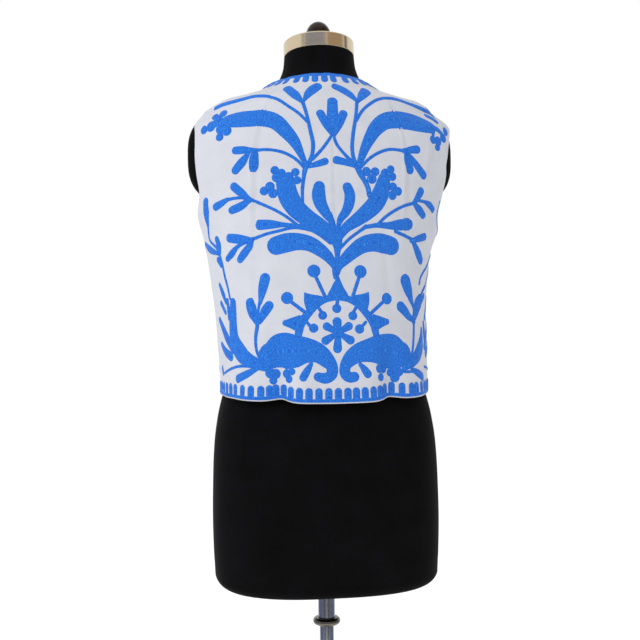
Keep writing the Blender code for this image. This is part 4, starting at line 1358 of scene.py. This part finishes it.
# %% [markdown]
# ## Borders
# A comb border edges the neckline and the hem: a narrow stitched band, and short round-ended teeth that
# stand on it. The hem keeps a thin white edge outside its band. Even teeth would be simpler, but the real
# ones were sewn by eye, so each tooth of the back has its own place. The fronts cannot be seen: their
# teeth are even, and their open edges take the neck's border, as such vests usually have.

# %% Borders along the neck and hem
NECK_BORDER = {"inset": 0.3, "band": 4.4, "tooth": (7.6, 14.5)}
HEM_BORDER = {"inset": 2.4, "band": 3.4, "tooth": (8.2, 14.5)}
# The pattern's middle line lies 2 mm off the middle of the cloth, to the wearer's right.
PATTERN_MIDDLE = -2.0
# The cloth's last sliver at a seam has no border. A tooth's round foot starts just inside the band.
SIDE_GAP = math.radians(1.6)
TOOTH_FOOT = 0.6
# Where the teeth stand, in millimetres across the back: the wearer's left first, then the right.
NECK_TEETH = (103, 89, 75, 60, 43, 29.5, 16.5, 3, -9.5, -27.5, -43.5, -59, -72, -85, -99)
HEM_TEETH = (
    (226, 212, 198, 184, 171, 158, 140, 125, 110.5, 98.5, 90, 78.5, 67, 54, 41, 27.5, 14, 1)
    + (-12, -23.5, -35.5, -48, -59, -69, -82, -97.5, -113, -123, -137, -150, -163, -176, -190, -204, -218)
)


def from_edge_height(angle, edge_z, distance):
    """Height of a place that lies a distance up (or down, below zero) the cloth from an edge."""
    z, steps = np.array(edge_z), 8
    for _ in range(steps):
        step = point_at(angle, z + 0.5, cloth_radius(angle, z + 0.5))
        step = step - point_at(angle, z - 0.5, cloth_radius(angle, z - 0.5))
        z = z + distance / steps / np.linalg.norm(step, axis=-1)
    return z


def comb_border(face, angles, edge_row, way, teeth, inset, band, tooth):
    """A stitched band along an edge, with a comb of round-ended teeth. Way is 1 above it, -1 below."""
    edge_z = row_height(angles, np.full_like(angles, edge_row))
    band_z = from_edge_height(angles, edge_z, way * (inset + band / 2))
    band_line = zip(across_at(face, angles, band_z)[::2], band_z[::2])
    shapes = [([(float(a), float(z), band) for a, z in band_line], {"lift": HEM_RISE})]
    middle_z = from_edge_height(angles, edge_z, way * (inset + band + tooth[1] / 2))
    middle_across = across_at(face, angles, middle_z)
    order = np.argsort(middle_across)
    teeth = [a for a in teeth if middle_across.min() + 2 < a < middle_across.max() - 2]
    places = np.interp(teeth, middle_across[order], angles[order])
    foot = row_height(places, np.full_like(places, edge_row))
    width, length = tooth
    tip = inset + band + length - width / 2
    ends = (inset + width / 2 + TOOTH_FOOT, inset + band + length / 2, tip)
    heights = [from_edge_height(places, foot, way * distance) for distance in ends]
    across = [across_at(face, places, z) for z in heights]
    for k in range(len(places)):
        shape = [(float(a[k]), float(z[k]), width) for a, z in zip(across, heights)]
        shapes.append((shape, {"lift": HEM_RISE}))
    print(face, "border with", len(places), "teeth")
    return shapes


back_angles = np.linspace(math.pi - SIDE_GAP, SIDE_GAP, 121)
neck_back = comb_border("back", back_angles, NECKLINE_Z, -1, NECK_TEETH, **NECK_BORDER)
hem_teeth = [a + PATTERN_MIDDLE for a in HEM_TEETH]
hem_back = comb_border("back", back_angles, HEM_Z, 1, hem_teeth, **HEM_BORDER)

# %% [markdown]
# ## The back's embroidery
# All the back's motifs are laid in one piece. The star's points are the only strokes with flat feet.

# %% Back
back_shapes = neck_back + hem_back
for motif in (NECK_LEAVES, STEMS, TULIP, SHOULDER_HORN, SPRIG, LINK, HORN, PETALS, BRANCHES, DROOPING_LEAF):
    back_shapes += placed(motif, middle=PATTERN_MIDDLE)
for motif in (TRUNK, STAR, FLOWER, PAISLEY, CORNER):
    back_shapes += placed(motif, middle=PATTERN_MIDDLE)
# The left vine lies a little further out than the right one.
for sign, outward in ((1, 1.5), (-1, 0.0)):
    back_shapes += placed(SIDE_VINE, sides=(sign,), middle=PATTERN_MIDDLE, outward=outward)
back_shapes += placed(STAR_POINTS, middle=PATTERN_MIDDLE, flat_end=True)
back_embroidery = embroidery("back_embroidery", "back", back_shapes)

# %% [markdown]
# ## The fronts' embroidery
# The fronts face away from the camera, so their pattern is a guess. Vests of this kind repeat the back's
# motifs on each front, clear of the opening, so the same horns, leaves, branches and paisleys are used,
# moved outward. The shoulder horn is shorter there, and a small flower takes the place of half a star.

# %% Fronts
FRONT_HORN = (
    ("both", (36, 1250, 5), (44, 1267, 9), (51, 1283, 14), (62, 1299, 18), (75, 1311, 21),
        (92, 1317, 22), (110, 1317, 22), (123, 1314, 19)),
    *berries("both", (135, 1320, 11), (140, 1309, 12), (132, 1299, 11)),
)
FRONT_FLOWER = (
    ("both", (50, 1040, 13)),
    ("both", (50, 1045, 6), (51, 1058, 11)),
    ("both", (50, 1035, 6), (50, 1021, 11)),
    ("both", (54, 1043, 5), (65, 1050, 10)),
    ("both", (54, 1037, 5), (65, 1029, 10)),
    ("both", (46, 1043, 5), (36, 1050, 9)),
    ("both", (46, 1037, 5), (36, 1029, 9)),
)

# The edge border starts above the hem's and ends below the neck's, and all the fronts' teeth are even.
EDGE_START, EDGE_END, EDGE_TOOTH_STEP = 26.0, 14.0, 13.0
FRONT_HEM_TEETH = np.arange(21.0, 240.0, 14.0)
FRONT_NECK_TEETH = np.arange(14.0, 120.0, 13.0)
# Motifs lie these millimetres further out than on the back.
FRONT_OUTWARD, FRONT_VINE_OUTWARD = 22.0, 20.0
# The borders of hem and neck stop this far from the front's middle, in radians.
FRONT_STOP = 0.1


def front_edge_border(sign):
    """The neck's border, run down one front edge."""
    z = np.arange(HEM_Z + EDGE_START, NECKLINE_Z - FRONT_NECK_DROP - EDGE_END, 2.0)
    share = (z - HEM_Z) / (NECKLINE_Z - HEM_Z)
    opening = FRONT_OPENING_HEM + (FRONT_OPENING_TOP - FRONT_OPENING_HEM) * share
    band, (width, length) = NECK_BORDER["band"], NECK_BORDER["tooth"]
    inset = NECK_BORDER["inset"]
    band_line = list(zip(sign * (opening + inset + band / 2), z, np.full_like(z, band)))
    shapes = [([tuple(map(float, place)) for place in band_line[::3]], {"lift": HEM_RISE})]
    for height in np.arange(z[0] + 4.0, z[-1], EDGE_TOOTH_STEP):
        near = float(np.interp(height, z, opening))
        ends = (near + inset + width / 2 + TOOTH_FOOT, near + inset + band + length - width / 2)
        shape = [(sign * ends[0], float(height), width), (sign * ends[1], float(height), width)]
        shapes.append((shape, {"lift": HEM_RISE}))
    return shapes


for panel, sign in (("front_left", 1), ("front_right", -1)):
    first = -SIDE_GAP if sign > 0 else -math.pi + SIDE_GAP
    last = -math.pi / 2 + sign * FRONT_STOP
    angles = np.linspace(first, last, 81)
    shapes = comb_border("front", angles, HEM_Z, 1, sign * FRONT_HEM_TEETH, **HEM_BORDER)
    shapes += comb_border("front", angles, NECKLINE_Z, -1, sign * FRONT_NECK_TEETH, **NECK_BORDER)
    shapes += front_edge_border(sign)
    for motif in (HORN, PETALS, BRANCHES, DROOPING_LEAF, PAISLEY, CORNER, SPRIG, LINK, STEMS, FRONT_HORN):
        shapes += placed(motif, sides=(sign,), outward=FRONT_OUTWARD)
    shapes += placed(SIDE_VINE, sides=(sign,), outward=FRONT_VINE_OUTWARD)
    shapes += placed(FRONT_FLOWER, sides=(sign,))
    embroidery(panel + "_embroidery", "front", shapes)

# %% [markdown]
# ## Cut of the cloth
# Its flat size is the one it was cut to: lengths along the cloth, measured when the panel was made.
# Here each panel's area is printed.

# %% Areas of the panels
for panel, (piece, width, length, area) in panels.items():
    print(panel, "has an area of", round(area, 4), "square metres")

# %% [markdown]
# ## Floor, room and light
# The room is plain white, and so is the floor. White walls all round give the soft light of a studio
# tent, and one large lamp high on the left adds a little shape. Polished metal needs something dark to
# reflect, or it looks like grey paint. So black, grey and brown cards stand round the room, low ones for
# the tubes and high ones for the cap. Only reflections see them: the camera does not, and they take no
# light from the cloth.


# %% Stage
def staged_card(name, corners, colour, glow=0.0):
    """A flat stage piece with four corners, in one colour of paint."""
    mesh = bpy.data.meshes.new(name)
    mesh.from_pydata(corners, [], [(0, 1, 2, 3)])
    card = bpy.data.objects.new(name, mesh)
    bpy.context.scene.collection.objects.link(card)
    paint, tree, shader = new_material(name + "_paint", Roughness=0.9)
    shader.inputs["Base Color"].default_value = (*linear(colour), 1.0)
    shader.inputs["Emission Color"].default_value = (*linear(colour), 1.0)
    shader.inputs["Emission Strength"].default_value = glow
    mesh.materials.append(paint)
    return card


FLOOR_Z, FLOOR_HALF = -0.0005, 6
floor_corners = [(a * FLOOR_HALF, b * FLOOR_HALF, FLOOR_Z) for a, b in ((-1, -1), (1, -1), (1, 1), (-1, 1))]
staged_card("floor", floor_corners, "#F4F4F4", glow=0.16)
room = bpy.data.worlds.new("white_room")
room.use_nodes = True
room.node_tree.nodes["Background"].inputs["Color"].default_value = (1.0, 1.0, 1.0, 1.0)
room.node_tree.nodes["Background"].inputs["Strength"].default_value = 1.0
bpy.context.scene.world = room
bpy.context.scene.view_settings.view_transform = "Standard"
print("room strength", room.node_tree.nodes["Background"].inputs["Strength"].default_value)

# %% Cards for the metal
# Each card: degrees from the camera's side, half angle, distance, bottom and top in metres, colour.
CARDS = (
    (0.0, 4.0, 1.75, 0.0, 1.0, "#17151A"),
    (27.0, 19.0, 1.7, 0.0, 1.0, "#7D7570"),
    (-27.0, 19.0, 1.7, 0.0, 1.0, "#7A7472"),
    (84.0, 38.0, 1.5, 0.0, 1.0, "#83879A"),
    (-86.0, 40.0, 1.5, 0.0, 1.0, "#8388A0"),
    (-12.0, 36.0, 3.0, 1.7, 6.0, "#9FA5BC"),
    (-55.0, 2.2, 2.9, 1.6, 6.0, "#3A1F1C"),
    (58.0, 30.0, 3.0, 1.6, 6.0, "#B09C86"),
    (101.0, 6.0, 2.9, 1.4, 6.0, "#100E0D"),
)


def reflected_card(number, turn, half_angle, distance, low, high, colour):
    """An upright card round the object, which only reflections see."""
    around = CAMERA_AZIMUTH + math.radians(turn)
    outward = Vector((math.sin(around), -math.cos(around), 0.0))
    aside = outward.cross(Vector((0.0, 0.0, 1.0))) * distance * math.tan(math.radians(half_angle))
    foot, up = outward * distance, Vector((0.0, 0.0, 1.0))
    ends = ((-1, low), (1, low), (1, high), (-1, high))
    corners = [foot + aside * way + up * height for way, height in ends]
    card = staged_card(f"reflected_card_{number}", corners, colour)
    card.visible_camera = False
    card.visible_diffuse = False
    card.visible_shadow = False
    card.visible_transmission = False


for number, card_settings in enumerate(CARDS):
    reflected_card(number, *card_settings)
print("cards:", len(CARDS))

# %% Key light
key = bpy.data.lights.new("soft_key", "AREA")
key.shape, key.size, key.energy = "DISK", 1.1, 26.0
key_lamp = bpy.data.objects.new("soft_key", key)
key_place, key_target = Vector((1.9, 1.5, 2.2)), Vector((0, 0, 1.1))
key_turn = (key_place - key_target).to_track_quat("Z", "Y")
key_lamp.matrix_world = Matrix.Translation(key_place) @ key_turn.to_matrix().to_4x4()
key_lamp.visible_glossy = False
bpy.context.scene.collection.objects.link(key_lamp)
print("key light", key.energy, "W")
